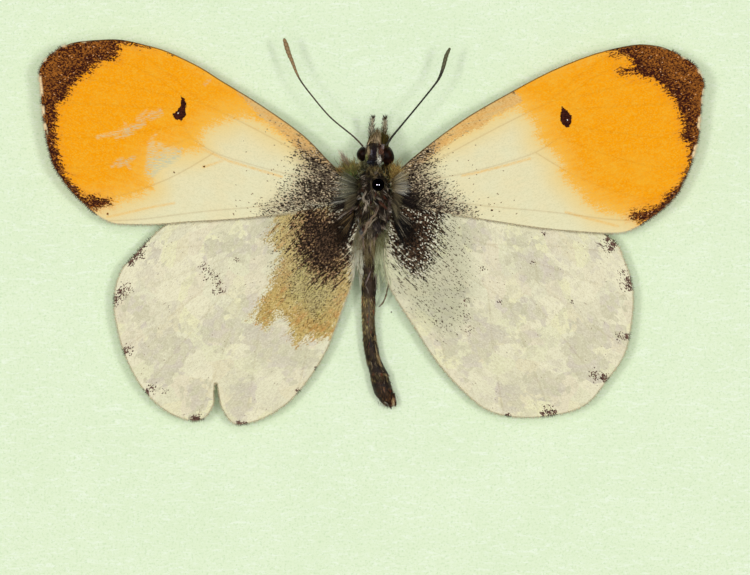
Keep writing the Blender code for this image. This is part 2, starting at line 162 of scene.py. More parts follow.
# Lines of orange scales that run into the cream
ORANGE_LINES = {
    "left": [(-18.06, 4.75, -15.09, 5.42, 0.04), (-15.09, 5.42, -13.54, 5.69, 0.04),
             (-11.79, 9.4, -9.84, 8.52, 0.05), (-9.84, 8.52, -6.27, 7.45, 0.05),
             (-11.59, 8.12, -10.31, 8.52, 0.04)],
    "right": [(12.87, 5.09, 14.29, 4.68, 0.05), (14.29, 4.68, 16.37, 4.14, 0.05),
              (5.86, 7.51, 7.08, 7.78, 0.05), (7.08, 7.78, 8.89, 8.25, 0.05),
              (8.89, 8.25, 10.44, 8.69, 0.05)],
}
# Dark marks: x, y and radius
FOREWING_MARKS = {
    "left": [(-11.52, 8.19, 0.17), (-13.54, 7.78, 0.13), (-18.06, 4.95, 0.17), (-4.92, 6.97, 0.2),
             (-6.67, 6.17, 0.13)],
    "right": [(17.39, 3.87, 0.17), (7.88, 5.19, 0.13)],
}
# Where the fringe of the dark tip is pale, between the vein ends
PALE_FRINGE = {
    "left": [(-22.55, 13.9, 0.45), (-22.5, 13.3, 0.45), (-22.35, 11.95, 0.4), (-22.1, 10.85, 0.3),
             (-21.9, 10.5, 0.3), (-22.25, 15.35, 0.22), (-20.9, 16.42, 0.3), (-20.5, 16.55, 0.25),
             (-19.6, 16.72, 0.35), (-19.2, 16.8, 0.3)],
    "right": [(19.5, 16.3, 0.3), (20.85, 15.6, 0.25), (21.95, 14.6, 0.3), (22.15, 14.3, 0.25),
              (22.3, 13.15, 0.35), (22.25, 12.6, 0.38), (22.0, 11.3, 0.38), (21.9, 10.9, 0.32),
              (21.65, 9.4, 0.28), (21.55, 9.0, 0.3)],
}
HINDWING_DUST = {
    "left": [(-5.1, 5.6), (-5.6, 4.3), (-5.6, 3.1), (-5.3, 2.0), (-4.6, 1.0), (-3.6, 0.2),
             (-2.7, 0.2), (-1.9, 0.9), (-1.3, 1.9), (-0.9, 3.2), (-0.9, 5.6)],
    "right": [(0.7, 6.3), (0.5, 4.0), (0.9, 2.4), (1.6, 1.3), (2.6, 0.6), (3.4, 0.8),
              (4.1, 1.8), (4.5, 3.1), (4.7, 5.7)],
}
# Greyer ground round each base, with fine dark specks
HAZE = {
    "left": [(-2.0, 5.6), (-7.2, 5.2), (-7.0, 1.0), (-4.6, -1.6), (-2.2, -1.2), (-1.3, 1.5)],
    "right": [(0.6, 5.6), (5.2, 5.3), (6.2, 3.6), (6.6, 0.6), (6.2, -1.8), (5.2, -3.4),
              (4.0, -2.8), (2.4, -1.6), (1.1, 0.4), (0.6, 2.5)],
}
STAIN = [(-6.7, 5.1), (-6.7, 4.1), (-7.3, 3.1), (-6.3, 2.3), (-6.7, 1.2), (-7.2, -0.2),
         (-8.3, -2.1), (-7.9, -2.2), (-7.3, -2.6), (-6.7, -1.8), (-5.7, -2.1), (-5.7, -3.2),
         (-5.3, -3.9), (-4.5, -3.3), (-3.8, -3.4), (-2.7, -3.3), (-1.8, -0.8), (-1.5, 1.2),
         (-2.4, 3.2), (-3, 5.6)]
HINDWING_MARKS = {
    "left": [(-15.1, 3.7, 0.28), (-15.4, 3.35, 0.36), (-15.7, 2.95, 0.42), (-16.0, 2.55, 0.42),
             (-16.25, 2.15, 0.48), (-16.5, 1.75, 0.46), (-17.5, -0.85, 0.5), (-17.2, -0.3, 0.35),
             (-16.95, -4.35, 0.32), (-15.4, -7.05, 0.36), (-11.95, -9, 0.5), (-12.3, -8.85, 0.35),
             (-8.83, -9.25, 0.38), (-9.2, -9.15, 0.25), (-5.26, -6.97, 0.22), (-4.04, -5.42, 0.16),
             (-6.47, -8.32, 0.15)],
    "right": [(16.05, 2.95, 0.4), (15.75, 3.3, 0.42), (15.95, 2.6, 0.3), (17.2, 0.15, 0.45),
              (17.05, 0.55, 0.3), (17.05, -3.3, 0.32), (15.45, -6.05, 0.42), (12.1, -8.4, 0.3),
              (11.75, -8.45, 0.32), (11.3, -8.5, 0.26), (8.96, -8.65, 0.32), (7.14, -8.12, 0.16),
              (5.53, -6.77, 0.22)],
}
# Thinner speckle of the hindwings, in the same way
HINDWING_SPECKLE = {
    "left": [(-15.9, 2.3, 0.8), (-16.9, -0.1, 0.9), (-17.3, -0.8, 0.8), (-16.6, -4.2, 0.75),
             (-15.0, -6.8, 0.8), (-14.2, -6.9, 0.45), (-12.0, -8.7, 0.6), (-11.7, 1.45, 0.5),
             (-11.35, 1.15, 0.6), (-10.95, 0.75, 0.7), (-10.65, 0.25, 0.7), (-10.35, -0.2, 0.55),
             (-11.45, 0.6, 0.35), (-10.85, -0.3, 0.4), (-9.3, 1.9, 0.35)],
    "right": [(15.6, 2.9, 0.9), (16.8, 0.9, 0.8), (17.0, 0.1, 0.75), (16.6, -3.3, 0.7),
              (14.9, -5.9, 0.85), (11.7, -8.2, 0.7), (13.27, -0.91, 0.35), (10.65, 1.72, 0.45),
              (8.42, -0.98, 0.35), (6.4, -2.86, 0.5), (11.39, 3.61, 0.35), (6.1, -1.0, 0.5),
              (6.2, -2.0, 0.6), (7.3, 1.2, 0.5)],
}
# Marbling of the hindwings: moss green below, showing grey through the cream above
MARBLING = {
    "left": [
        [(-15.8, -3.9), (-14.2, -2.7), (-13.3, -2.3), (-13.1, -3.2), (-14.2, -4.3),
         (-15.2, -5), (-16.2, -4.8)],
        [(-15.2, -6.2), (-13.9, -4.3), (-13.1, -3.4), (-12.1, -3.9), (-12.8, -4.9),
         (-13.5, -6.6), (-14.5, -6.9), (-15.3, -6.8)],
        [(-11.5, -2.2), (-10.8, -1.2), (-10.1, -1.9), (-9.2, -2.1), (-8.8, -2.5),
         (-9.2, -3.9), (-10.1, -4.3), (-11.5, -3.9), (-11.9, -3.2)],
        [(-9.1, -2.9), (-7.6, -2.3), (-6.1, -2.3), (-5.1, -3.5), (-3.8, -4.2), (-3.6, -5),
         (-5.1, -5.9), (-5.7, -6.6), (-6.5, -5.9), (-7.4, -5.2), (-8.4, -4.8), (-8.9, -3.9)],
        [(-12.8, -6.6), (-11.5, -6.1), (-11, -7.2), (-11.3, -8.4), (-12.3, -8.6), (-12.8, -7.6)],
        [(-9.9, -6.6), (-8.4, -6.2), (-8, -7.2), (-8.3, -8.4), (-9.2, -8.8), (-9.9, -7.9)],
        [(-17.2, -0.2), (-15.5, -0.8), (-15.2, -2.1), (-15.8, -2.5), (-17, -1.7)],
        [(-11.8, 3.2), (-9.4, 3.7), (-7.6, 2.9), (-7.1, 2.4), (-8.1, 1.9), (-10.1, 2.2),
         (-11.5, 2)],
        [(-9.4, -0.7), (-7.9, -0.2), (-7.6, -1), (-8.4, -1.9), (-9.4, -1.5)],
        [(-8.4, 5.2), (-6.7, 5.2), (-6.7, 3.5), (-8.1, 3.2), (-8.8, 3.9)],
        [(-15.5, 2.7), (-14.2, 3.2), (-14.6, 1.7), (-15.5, 1.5)],
    ],
    "right": [
        [(13.1, -2.2), (14.8, -2.3), (16.8, -2.7), (17, -3.5), (15.2, -3.9), (14.8, -4.2),
         (15.8, -5), (15.2, -6.1), (13.8, -6.4), (13, -5.6), (12.8, -3.9), (13.3, -3.2)],
        [(10.3, -5.9), (11.5, -5.4), (12.6, -5.7), (13, -6.9), (12.5, -7.7), (11.1, -7.7),
         (10.1, -6.9)],
        [(8.4, -6.6), (9.6, -6.4), (10.1, -7.2), (9.8, -8.1), (8.6, -8.1), (8.2, -7.2)],
        [(6.4, -0.8), (7.7, -2.5), (9.4, -3.2), (10.4, -2.9), (11.5, -3.5), (10.4, -4.2),
         (8.4, -3.9), (7.7, -4.9), (6.9, -5.7), (6.1, -6.6), (5.7, -5.6), (6.4, -3.9),
         (6.1, -2.5)],
        [(8.4, -0.8), (10.4, -0.7), (11.7, -1.7), (11.5, -2.3), (9.8, -2.3), (8.6, -1.9)],
        [(9.1, 2.2), (10.8, 2.7), (12.5, 1.9), (12.6, 0.6), (11.5, 0.2), (9.8, 0.6), (9, 1.3)],
        [(5.4, 4.5), (7.4, 4.5), (8.1, 3.2), (7.1, 2.5), (5.9, 2.9)],
        [(8.8, 3.7), (10.4, 3.5), (11.1, 2.9), (9.8, 2.5), (8.8, 2.9)],
        [(15.2, -0.2), (16.8, -0.8), (16.6, -2.2), (15.5, -1.9), (15, -0.8)],
        [(14.5, 3.2), (15.5, 2.7), (15.2, 1.7), (14.5, 2.2)],
        [(3.4, 0.2), (5.4, 0.2), (6.4, -0.2), (5.9, -1.5), (4.4, -2.1), (3.6, -1.2)],
        [(4.4, -3.2), (5.9, -3.2), (5.6, -4.9), (4.4, -5.2)],
    ],
}
# Veins of the left wings; the right wings have their mirror image
FOREWING_VEINS = [
    [(-2.5, 7.6), (-5.7, 9.4), (-9.1, 11.2), (-11.6, 12.4), (-12.8, 12.8)],
    [(-12.8, 12.8), (-13.1, 12.1), (-12.9, 11), (-12.4, 10.1)],
    [(-2.5, 7), (-5.7, 7.6), (-8.4, 8.3), (-10.8, 9.1), (-12.4, 10.1)],
    [(-2.6, 7.9), (-5.1, 9.7), (-7.6, 11.8), (-10.1, 13.7)],
    [(-11.6, 12.4), (-13.8, 14.3), (-15.5, 15.5), (-17.2, 16.5)],
    [(-12.8, 12.8), (-15.8, 14.7), (-18.9, 15.6), (-21.2, 15.9)],
    [(-12.9, 12.6), (-15.8, 13.4), (-19.2, 14), (-22.6, 14.1)],
    [(-13.1, 12), (-16.5, 12.2), (-19.9, 12.4), (-22.5, 12.4)],
    [(-12.9, 11), (-15.8, 10.5), (-19.2, 10.1), (-22.2, 10.1)],
    [(-12.4, 10.1), (-15.2, 9.1), (-18.5, 8.2), (-21.6, 8.1)],
    [(-10.8, 9.1), (-13.8, 7.4), (-17.2, 6.2), (-20, 5.9)],
    [(-2.5, 6.3), (-6.4, 5.6), (-11.8, 5.1), (-15.8, 4.6), (-18.3, 4.5)],
]
HINDWING_VEINS = [
    [(-2.5, 5), (-6.4, 5.1), (-10.8, 4.5), (-15, 3.5)],
    [(-2.5, 4.5), (-5.7, 3.5), (-8.8, 2.5), (-10.8, 1.7)],
    [(-7.6, 2.9), (-11.8, 2.8), (-16, 2.4)],
    [(-10.8, 1.7), (-10.9, 0.6), (-10.2, -0.3), (-9.1, -1)],
    [(-2.5, 4.3), (-4.7, 2.2), (-6.7, 0.5), (-9.1, -1)],
    [(-10.8, 1.7), (-14.2, 0.5), (-17.6, -0.8)],
    [(-10.8, 0.5), (-13.8, -1.9), (-17.2, -4.3)],
    [(-10.2, -0.3), (-12.8, -3.5), (-15.6, -7)],
    [(-9.1, -1), (-10.3, -4.5), (-12.1, -9.1)],
    [(-7.6, 0), (-8, -4.2), (-8.8, -9.3)],
    [(-2.6, 4), (-3.8, -0.8), (-5.2, -7)],
    [(-2.2, 3.9), (-2.2, 1.2), (-2.8, -3)],
]

PAPER_SPECK = (1.11, -1.67)      # a loose dark scale on the paper

# ---------------------------------------------------------------- body layout
PIN_X, PIN_Y = 0.21, 6.77
PIN_RADIUS = 0.21
PIN_LENGTH = 18.0
PIN_POINT = 1.6
# How far each step of the point goes down, and by how much it narrows
POINT_STEPS = ((0.35, 0.72), (0.3, 0.6), (0.35, 0.45), (0.35, 0.3), (0.25, 0.15))
PIN_ABOVE_PAPER = 7.5
THORAX_CENTRE = (-0.15, 5.85, 2.9)
THORAX_HALF = (1.2, 2.25, 1.6)
HEAD_CENTRE = (-0.03, 8.97, 2.9)
HEAD_HALF = (0.82, 0.85, 0.9)
EYE_CENTRE = {"left": (-0.80, 8.98, 2.85), "right": (0.79, 8.90, 2.85)}
EYE_HALF = {"left": (0.42, 0.50, 0.55), "right": (0.47, 0.70, 0.58)}
EYE_TURN = {"left": math.radians(-24.0), "right": math.radians(20.0)}
ABDOMEN = [
    (-0.40, 4.4, 2.50, 0.66), (-0.43, 3.1, 2.15, 0.62), (-0.43, 1.8, 1.80, 0.52),
    (-0.41, 0.5, 1.50, 0.49), (-0.44, -0.9, 1.25, 0.46), (-0.45, -1.9, 1.12, 0.41),
    (-0.42, -2.85, 1.00, 0.42), (-0.31, -3.9, 0.90, 0.45), (-0.09, -4.95, 0.84, 0.48),
    (0.16, -5.6, 0.81, 0.52), (0.27, -5.85, 0.80, 0.60), (0.38, -6.4, 0.80, 0.62),
    (0.62, -7.1, 0.80, 0.59), (0.85, -7.6, 0.77, 0.48), (1.0, -7.9, 0.76, 0.28),
]
CLASPERS = {
    "left": [(0.75, -7.4, 0.78, 0.30), (0.92, -7.8, 0.77, 0.18), (1.05, -8.08, 0.76, 0.08),
             (1.11, -8.25, 0.76, 0.02)],
    "right": [(1.15, -7.2, 0.80, 0.22), (1.32, -7.62, 0.78, 0.11), (1.40, -7.86, 0.76, 0.05),
              (1.43, -7.97, 0.76, 0.02)],
}
ANTENNA = {
    "left": [(-0.80, 9.45, 3.50, 0.060), (-1.48, 10.15, 3.45, 0.055), (-3.03, 11.45, 3.30, 0.050),
             (-4.38, 13.05, 3.10, 0.050), (-5.00, 13.90, 3.00, 0.055), (-5.30, 14.50, 2.92, 0.085),
             (-5.57, 15.20, 2.85, 0.120), (-5.80, 15.75, 2.80, 0.150), (-5.97, 16.30, 2.76, 0.160),
             (-6.12, 16.75, 2.73, 0.090)],
    "right": [(0.74, 9.50, 3.50, 0.085), (1.16, 10.12, 3.50, 0.075), (1.74, 10.82, 3.42, 0.062),
              (2.96, 12.30, 3.20, 0.060), (4.00, 13.60, 3.00, 0.065), (4.30, 14.05, 2.95, 0.085),
              (4.49, 14.50, 2.90, 0.110), (4.64, 15.00, 2.86, 0.135), (4.80, 15.60, 2.82, 0.135),
              (5.05, 16.10, 2.80, 0.080)],
}
PALP = {
    "left": [(-0.20, 9.35, 2.35, 0.15), (-0.22, 9.95, 2.33, 0.16), (-0.22, 10.50, 2.45, 0.17),
             (-0.18, 11.05, 2.65, 0.13), (-0.13, 11.45, 2.85, 0.07)],
    "right": [(0.42, 9.35, 2.35, 0.15), (0.54, 9.90, 2.33, 0.16), (0.62, 10.50, 2.45, 0.17),
              (0.66, 11.05, 2.65, 0.13), (0.67, 11.45, 2.85, 0.07)],
}
PALP_STRANDS = 9         # rows of hair round a palp
ANTENNA_JOINT = 0.28
CLUB_FROM = 6.2          # length along an antenna at which its club begins
CLUB_CHANGE = 0.5
PROBOSCIS_CENTRE = (0.18, 9.85, 1.75)
PROBOSCIS_TURNS = 2.25
PROBOSCIS_INNER = 0.12
PROBOSCIS_PITCH = 0.17
PROBOSCIS_RADIUS = 0.045
LEG_PAIRS = ("fore", "mid", "hind")
LEG_SPACING = 1.15
LEG_SPREAD = 0.5
LEG = [(0.50, 7.1, 2.10, 0.12), (0.80, 7.1, 1.50, 0.12), (2.50, 7.3, 1.55, 0.09),
       (1.30, 4.9, 0.85, 0.07), (1.50, 2.6, 0.45, 0.05)]
LEG_HIND_RIGHT = [
    (0.45, 4.8, 2.10, 0.12), (0.75, 4.8, 1.50, 0.12), (2.40, 4.6, 1.55, 0.09),
    (1.35, 2.4, 1.25, 0.07), (0.98, 0.5, 1.00, 0.055), (0.91, 0.15, 0.95, 0.05),
    (0.83, -0.10, 0.92, 0.05), (0.78, -0.46, 0.88, 0.05), (0.53, -1.08, 0.80, 0.05),
    (0.25, -1.32, 0.75, 0.05),
]
HAIR_TAPER = 0.75        # share of its width that a hair loses up to its tip
SKIN_SHARE = 0.97        # hair roots this far out in the thorax and abdomen
WAIST_X = -0.42          # middle of the abdomen's front, where its hair begins
WAIST_Y = 4.4
GAP_LOCKS = 9            # locks of down across the gap beside the waist
BRUSH_POINT = (0.21, 10.85, 3.0)         # where the hairs of the face meet
PALE_SKIN = (-0.6, -0.85)        # middle of the abdomen's greyer part, its length shrunk

# ---------------------------------------------------------------- stage layout
FLOOR_SIZE = 8.0         # in metres, like the lamps' distances
SENSOR_WIDTH = 36.0      # in mm, like the next
WING_PLANE = 2.2         # height above the paper at which the view is as wide as set
KEY_HEIGHT = 0.80
KEY_HALF_ANGLE = math.radians(26.0)      # half the angle that a lamp fills, seen from the slab
LAMP_DISTANCE = 0.5
LAMP_SLANT = math.radians(21.0)
LAMP_HALF_ANGLE = math.radians(5.0)


# ---------------------------------------------------------------- settings
def colour(label, about, value):
    return FloatVectorProperty(name=label, description=about, subtype="COLOR", size=3,
                               min=0.0, max=1.0, default=value)


def size_in_mm(label, about, value, least):
    return FloatProperty(name=label, description=about, default=value * MM, min=least * MM,
                         precision=6, unit="LENGTH")


def light_share(label, about, value):
    return FloatProperty(name=label, description=about, default=value, min=0.0, max=2.0)


class WingSettings(bpy.types.PropertyGroup):
    scale_width: size_in_mm("Scale width", "Width of one wing scale", 0.058, 0.03)
    scale_length: size_in_mm("Scale length", "Length of one wing scale", 0.088, 0.03)
    cream: colour("Cream", "Ground colour of all four wings", tone(233, 229, 190))
    warm_cream: colour("Warm cream", "Yellower patches of the forewings", tone(236, 220, 165))
    orange: colour("Orange", "Outer patch of the forewings", tone(250, 163, 0))
    apex_dark: colour("Apex dark", "Dark scales of the wing tips", tone(36, 12, 8))
    apex_gold: colour("Apex gold", "Golden scales of the wing tips", tone(168, 102, 36))
    dust: colour("Dust", "Dark scales at the wing bases", tone(28, 20, 14))
    marble: colour("Marbling", "Grey that shows through the hindwings", tone(205, 200, 168))
    blush: colour("Blush", "Pinkish patches of the hindwings", tone(220, 206, 178))
    stain: colour("Stain", "Greased patch of the left hindwing", tone(188, 158, 92))
    moss: colour("Moss", "Green marbling of the hindwings' undersides", tone(120, 128, 62))


class BodySettings(bpy.types.PropertyGroup):
    thorax_hairs: IntProperty(name="Thorax hairs", description="Hairs of the thorax's coat",
                              default=5200, min=0)
    hair_radius: size_in_mm("Hair radius", "Radius of a hair at its root", 0.017, 0.002)
    shell: colour("Shell", "Skin of the head, thorax and abdomen", tone(30, 22, 18))
    eye: colour("Eye", "Dried compound eyes", tone(18, 9, 6))


class SlabSettings(bpy.types.PropertyGroup):
    paper: colour("Paper", "Lining paper", tone(227, 242, 207))
    foam: colour("Foam", "Pinning foam", tone(232, 233, 226))


class PinSettings(bpy.types.PropertyGroup):
    head_radius: size_in_mm("Head radius", "Radius of the glass head", 0.41, 0.1)
    enamel: colour("Enamel", "Mirror tint of the head's black glass", tone(134, 134, 144))
    steel: colour("Steel", "Blackened steel of the shaft", tone(52, 52, 55))


class StageSettings(bpy.types.PropertyGroup):
    lens: FloatProperty(name="Lens", description="Focal length of the camera in millimetres",
                        default=180.0, min=20.0)
    view_width: size_in_mm("View width", "Width seen at the wings", 50.5, 10.0)
    key_share: light_share("Overhead light", "Share of the light from above", 0.40)
    lamp_share: light_share("Twin lamps", "Share of the light from both lamps", 0.38)
    fill_share: light_share("Fill", "Share of the light from all round", 0.22)
    floor: colour("Floor", "Plain pale floor", tone(226, 226, 222))


# ---------------------------------------------------------------- materials
class Signal:
    """A number, vector or colour inside a material, which can be added and compared."""

    def __init__(self, recipe, socket):
        self.recipe, self.socket = recipe, socket

    def math(self, operation, other=0.0):
        return self.recipe.signal(0, "ShaderNodeMath", {0: self, 1: other}, operation=operation)

    def vector_math(self, operation, other, output=0):
        return self.recipe.signal(output, "ShaderNodeVectorMath", {0: self, 1: other},
                                  operation=operation)

    def __add__(self, other):
        return self.math("ADD", other)

    def __sub__(self, other):
        return self.math("SUBTRACT", other)

    def __mul__(self, other):
        return self.math("MULTIPLY", other)

    def __gt__(self, other):
        return self.math("GREATER_THAN", other)

    def rises(self, low, high):
        """0 up to low, 1 from high, and smooth between; low may be the larger."""
        return self.recipe.signal("Result", "ShaderNodeMapRange",
                                  {"Value": self, "From Min": low, "From Max": high},
                                  interpolation_type="SMOOTHSTEP", clamp=True)

    def beats(self, level, soft=0.2):
        """1 where this is more than a random level, with a soft change round equality."""
        return (self * (1 + 2 * soft) - soft - level).rises(-soft, soft)

    def shifted(self, amount):
        return self.vector_math("ADD", amount)

    def stretched(self, across, along, up=1.0):
        return self.vector_math("MULTIPLY", (across, along, up))

    def away_from(self, x, y):
        """Distance of a flattened place from a point in plan."""
        return self.vector_math("DISTANCE", (x, y, 0.0), "Value")


class Recipe:
    """One material's node tree, laid down a node at a time."""

    def __init__(self, name, **shader):
        self.material = bpy.data.materials.new(name)
        self.material.use_nodes = True
        self.tree = self.material.node_tree
        self.shader = self.tree.nodes["Principled BSDF"]
        for socket, value in shader.items():
            self.shader.inputs[socket.replace("_", " ")].default_value = value

    def wire(self, value, socket):
        if isinstance(value, Signal):
            self.tree.links.new(value.socket, socket)
        elif socket.type == "RGBA":
            socket.default_value = (*value[:3], 1.0)
        else:
            socket.default_value = value

    def node(self, kind, inputs, **settings):
        made = self.tree.nodes.new(kind)
        for key, value in settings.items():
            setattr(made, key, value)
        for key, value in inputs.items():
            self.wire(value, made.inputs[key])
        return made

    def signal(self, output, kind, inputs, **settings):
        """One output of a new node."""
        return Signal(self, self.node(kind, inputs, **settings).outputs[output])

    def field(self, name, output="Fac"):
        """What the mesh's points store: a number, or else a Vector or a Color."""
        return self.signal(output, "ShaderNodeAttribute", {}, attribute_name=name)

    def place(self):
        """Position on the object in millimetres."""
        return self.signal("Object", "ShaderNodeTexCoord", {}).stretched(1 / MM, 1 / MM, 1 / MM)

    def noise(self, vector, scale, detail=2.0, roughness=0.5, distortion=0.0):
        return self.signal("Fac", "ShaderNodeTexNoise",
                           {"Vector": vector, "Scale": scale, "Detail": detail,
                            "Roughness": roughness, "Distortion": distortion})

    def cells(self, vector, randomness=1.0, dimensions="3D"):
        """Distance from each cell's middle, and three random numbers a cell."""
        node = self.node("ShaderNodeTexVoronoi",
                         {"Vector": vector, "Scale": 1.0, "Randomness": randomness},
                         voronoi_dimensions=dimensions)
        parts = self.node("ShaderNodeSeparateColor", {0: Signal(self, node.outputs["Color"])})
        return (Signal(self, node.outputs["Distance"]),
                *[Signal(self, output) for output in parts.outputs])

    def blend(self, amount, first, second, mode="MIX"):
        return self.signal(2, "ShaderNodeMix", {0: amount, 6: first, 7: second},
                           data_type="RGBA", blend_type=mode, clamp_factor=True)

    def paint(self, base, height=None, strength=0.2, depth=0.01, roughness=None):
        """Join a colour, a bump height in units of depth mm, and a roughness."""
        self.wire(base, self.shader.inputs["Base Color"])
        if roughness is not None:
            self.wire(roughness, self.shader.inputs["Roughness"])
        if height is not None:
            bump = self.node("ShaderNodeBump", {"Height": height, "Strength": strength,
                                                "Distance": depth * MM})
            self.tree.links.new(bump.outputs[0], self.shader.inputs["Normal"])
        return self.material


def wing_recipe(name, settings, specular, scale, detail, roughness, reach):
    """A wing's recipe with what its layers use: the rows of scales, the place, each scale's
    bump height and three random numbers, and a noise of that reach in mm that tears edges."""
    r = Recipe(name, Roughness=0.8, Specular_IOR_Level=specular)
    rows, place = r.field("rows", "Vector"), r.place()
    tiles = rows.stretched(MM / settings.scale_width, MM / settings.scale_length)
    distance, first, second, third = r.cells(tiles, SCALE_DISORDER, "2D")
    height = distance * -1.0 + 1.0
    ragged = (r.noise(place, scale, detail, roughness) - 0.5) * reach
    return r, rows, place, height, first, second, third, ragged


def forewing_upper_scales(settings):
    r, rows, place, height, first, second, third, ragged = wing_recipe(
        "forewing_upper_scales", settings, 0.1, 1.5, 4.0, 0.65, 1.7)
    blotches = r.noise(place, 0.4, 3.0)
    arcs = r.noise(rows.stretched(0.8, 6.5), 1.0, 2.0)
    rays = r.noise(rows.stretched(5.0, 0.5), 1.0, 3.0, 0.6)

    # cream with scattered dull scales, yellower towards the orange
    orange_zone = r.field("orange")
    cream = r.blend(blotches.rises(0.35, 0.65), settings.cream, tone(236, 226, 182))
    cream = r.blend(orange_zone.rises(-3.2, -0.2) * 0.6, cream, settings.warm_cream)
    cream = r.blend(rays.rises(0.45, 0.7) * 0.3, cream, tone(224, 222, 180))
    cream = r.blend(first * first * 0.35, cream, tone(202, 196, 154))

    # orange, paler where it thins out, and feathered scale by scale
    pale_orange = r.blend(second, tone(250, 190, 66), tone(240, 186, 84))
    orange = r.blend(second.rises(0.25, 1.0), settings.orange, tone(244, 178, 50))
    orange = r.blend(third.rises(0.5, 1.0) * 0.6, orange, tone(238, 146, 4))
    orange = r.blend(blotches.rises(0.5, 0.7) * 0.4, orange, tone(244, 182, 52))
    orange = r.blend(rays.rises(0.4, 0.75) * 0.3, orange, tone(242, 150, 10))
    thin = (orange_zone + ragged * 0.8 + (rays - 0.5) * 1.6).rises(1.7, -0.1)
    orange = r.blend(thin * 0.75, orange, pale_orange)
    feather = (orange_zone + ragged * 0.35 + (rays - 0.5) * 1.1).rises(-1.2, 0.7)
    body = r.blend(orange_zone.rises(-2.2, -0.1) * 0.7, cream, tone(240, 206, 124))
    body = r.blend(feather.beats(first, 0.8), body, orange)
    body = r.blend(r.field("lines").rises(-0.11, 0.05) * (second * 0.5 + 0.25), body,
                   tone(238, 186, 96))

    # veins darken what they cross
    vein = r.field("vein").rises(0.075, 0.0)
    faint = orange_zone.rises(0.6, -0.8) * 0.16 + 0.05
    body = r.blend(vein * faint, body, tone(176, 130, 70), "MULTIPLY")

    # tan strip behind the leading edge, specked with brown
    strip = (r.field("strip") + ragged * 0.25).rises(-0.25, 0.3)
    tan = r.blend(second, tone(232, 190, 120), tone(222, 170, 92))
    tan = r.blend(rays.rises(0.45, 0.65) * 0.4, tan, tone(214, 196, 140))
    tan = r.blend(arcs.rises(0.45, 0.8) * second * 0.5, tan, tone(150, 100, 50))
    body = r.blend((strip * 0.95).beats(third, 0.25), body, tan)

    # worn patch and scratches, thin enough to pale the orange
    hatch = r.noise(place.stretched(2.6, 20.0, 1.0).shifted(ragged * 0.8), 1.0, 2.0)
    worn = (r.field("worn") + ragged * 0.13).rises(-0.16, 0.12) * hatch.rises(0.42, 0.54)
    body = r.blend(worn * (second * 0.35 + 0.62), body,
                   r.blend(blotches.rises(0.4, 0.6), tone(226, 206, 152), tone(198, 200, 168)))

    # dark wing tip: near-black along its inner edge, tawny further out
    apex_zone = r.field("apex")
    dense = (apex_zone + ragged * 0.55 + (rays - 0.5) * 1.1).rises(-0.8, 0.45)
    pink = r.blend(dense * second, body, tone(226, 140, 48))
    tawny = (apex_zone + ragged * 0.9 + (arcs - 0.5) * 1.4).rises(0.3, 1.6) * 0.44 + 0.33
    tip = r.blend(second, settings.apex_dark, tone(72, 30, 18))
    tip = r.blend(tawny.beats(third, 0.08), tip,
                  r.blend(second, settings.apex_gold, tone(84, 46, 20)))
    tip = r.blend(first > 0.985, tip, tone(210, 158, 112))
    body = r.blend((dense * dense).beats(first, 0.3), pink, tip)
    near = r.field("costa")
    edge = r.field("edge")
    chipped = (r.field("pale") + ragged * 0.5).rises(0.0, 0.5)
    chipped = chipped * (edge + ragged * 0.14).rises(0.2, 0.06)
    body = r.blend(chipped * 0.9, body, r.blend(second, tone(252, 232, 186), tone(232, 196, 140)))
    marks = r.field("marks") + ragged * 0.2
    body = r.blend((marks.rises(0.0, 0.8) * 0.8).beats(second, 0.12), body, tip)

    # spot at the end of the cell
    spot = (r.field("spot") + ragged * 0.22).rises(-0.01, 0.12)
    body = r.blend((spot * 1.02).beats(third, 0.1), body,
                   r.blend(second, tone(30, 6, 6), tone(76, 34, 22)))
    body = r.blend(r.field("flecks").rises(0.2, 0.7).beats(third, 0.1), body, tone(226, 216, 200))

    # dust of dark scales at the base, thinning outwards in rays over a dull ground
    dust = r.field("dust")
    streaks = r.noise(rows.stretched(11.0, 0.8), 1.0, 2.0, 0.6)
    body = r.blend(dust.rises(-0.6, 1.5) * 0.75, body,
                   r.blend(streaks.rises(0.35, 0.65), tone(106, 102, 100), tone(160, 142, 112)))
    dusty = (dust + ragged * 0.7 + (rays - 0.5) * 2.2 + (streaks - 0.5) * -2.6).rises(-1.2, 2.4)
    grit = r.blend(second.rises(0.3, 1.0), settings.dust, tone(112, 98, 80))
    body = r.blend((dusty * 0.94).beats(third, 0.1), body, grit)
    _, fleck, _, _ = r.cells(rows.stretched(17.0, 11.0), 1.0, "2D")
    body = r.blend(dust.rises(-0.4, 0.6) * dust.rises(3.2, 1.6) * (fleck > 0.93), body,
                   tone(212, 192, 156))
    sparse = dust.rises(-4.0, 0.0) * 0.016
    body = r.blend(sparse > third, body, tone(140, 120, 92))

    # leading edge, a fine dark line with brown specks
    rim = (edge - 0.02).rises(0.09, 0.02) * near.rises(0.5, 0.3)
    body = r.blend(rim * 0.8, body, r.blend(second, tone(84, 62, 24), tone(50, 34, 16)))
    specks = near.rises(0.6, 0.1) * r.noise(place, 2.2, 3.0).rises(0.5, 0.7) * 0.5
    body = r.blend(specks.beats(second, 0.15), body, tone(120, 82, 42))

    relief = height * 0.6 + rays * 0.6 + vein * 1.5
    return r.paint(body, relief, 0.35, 0.02)


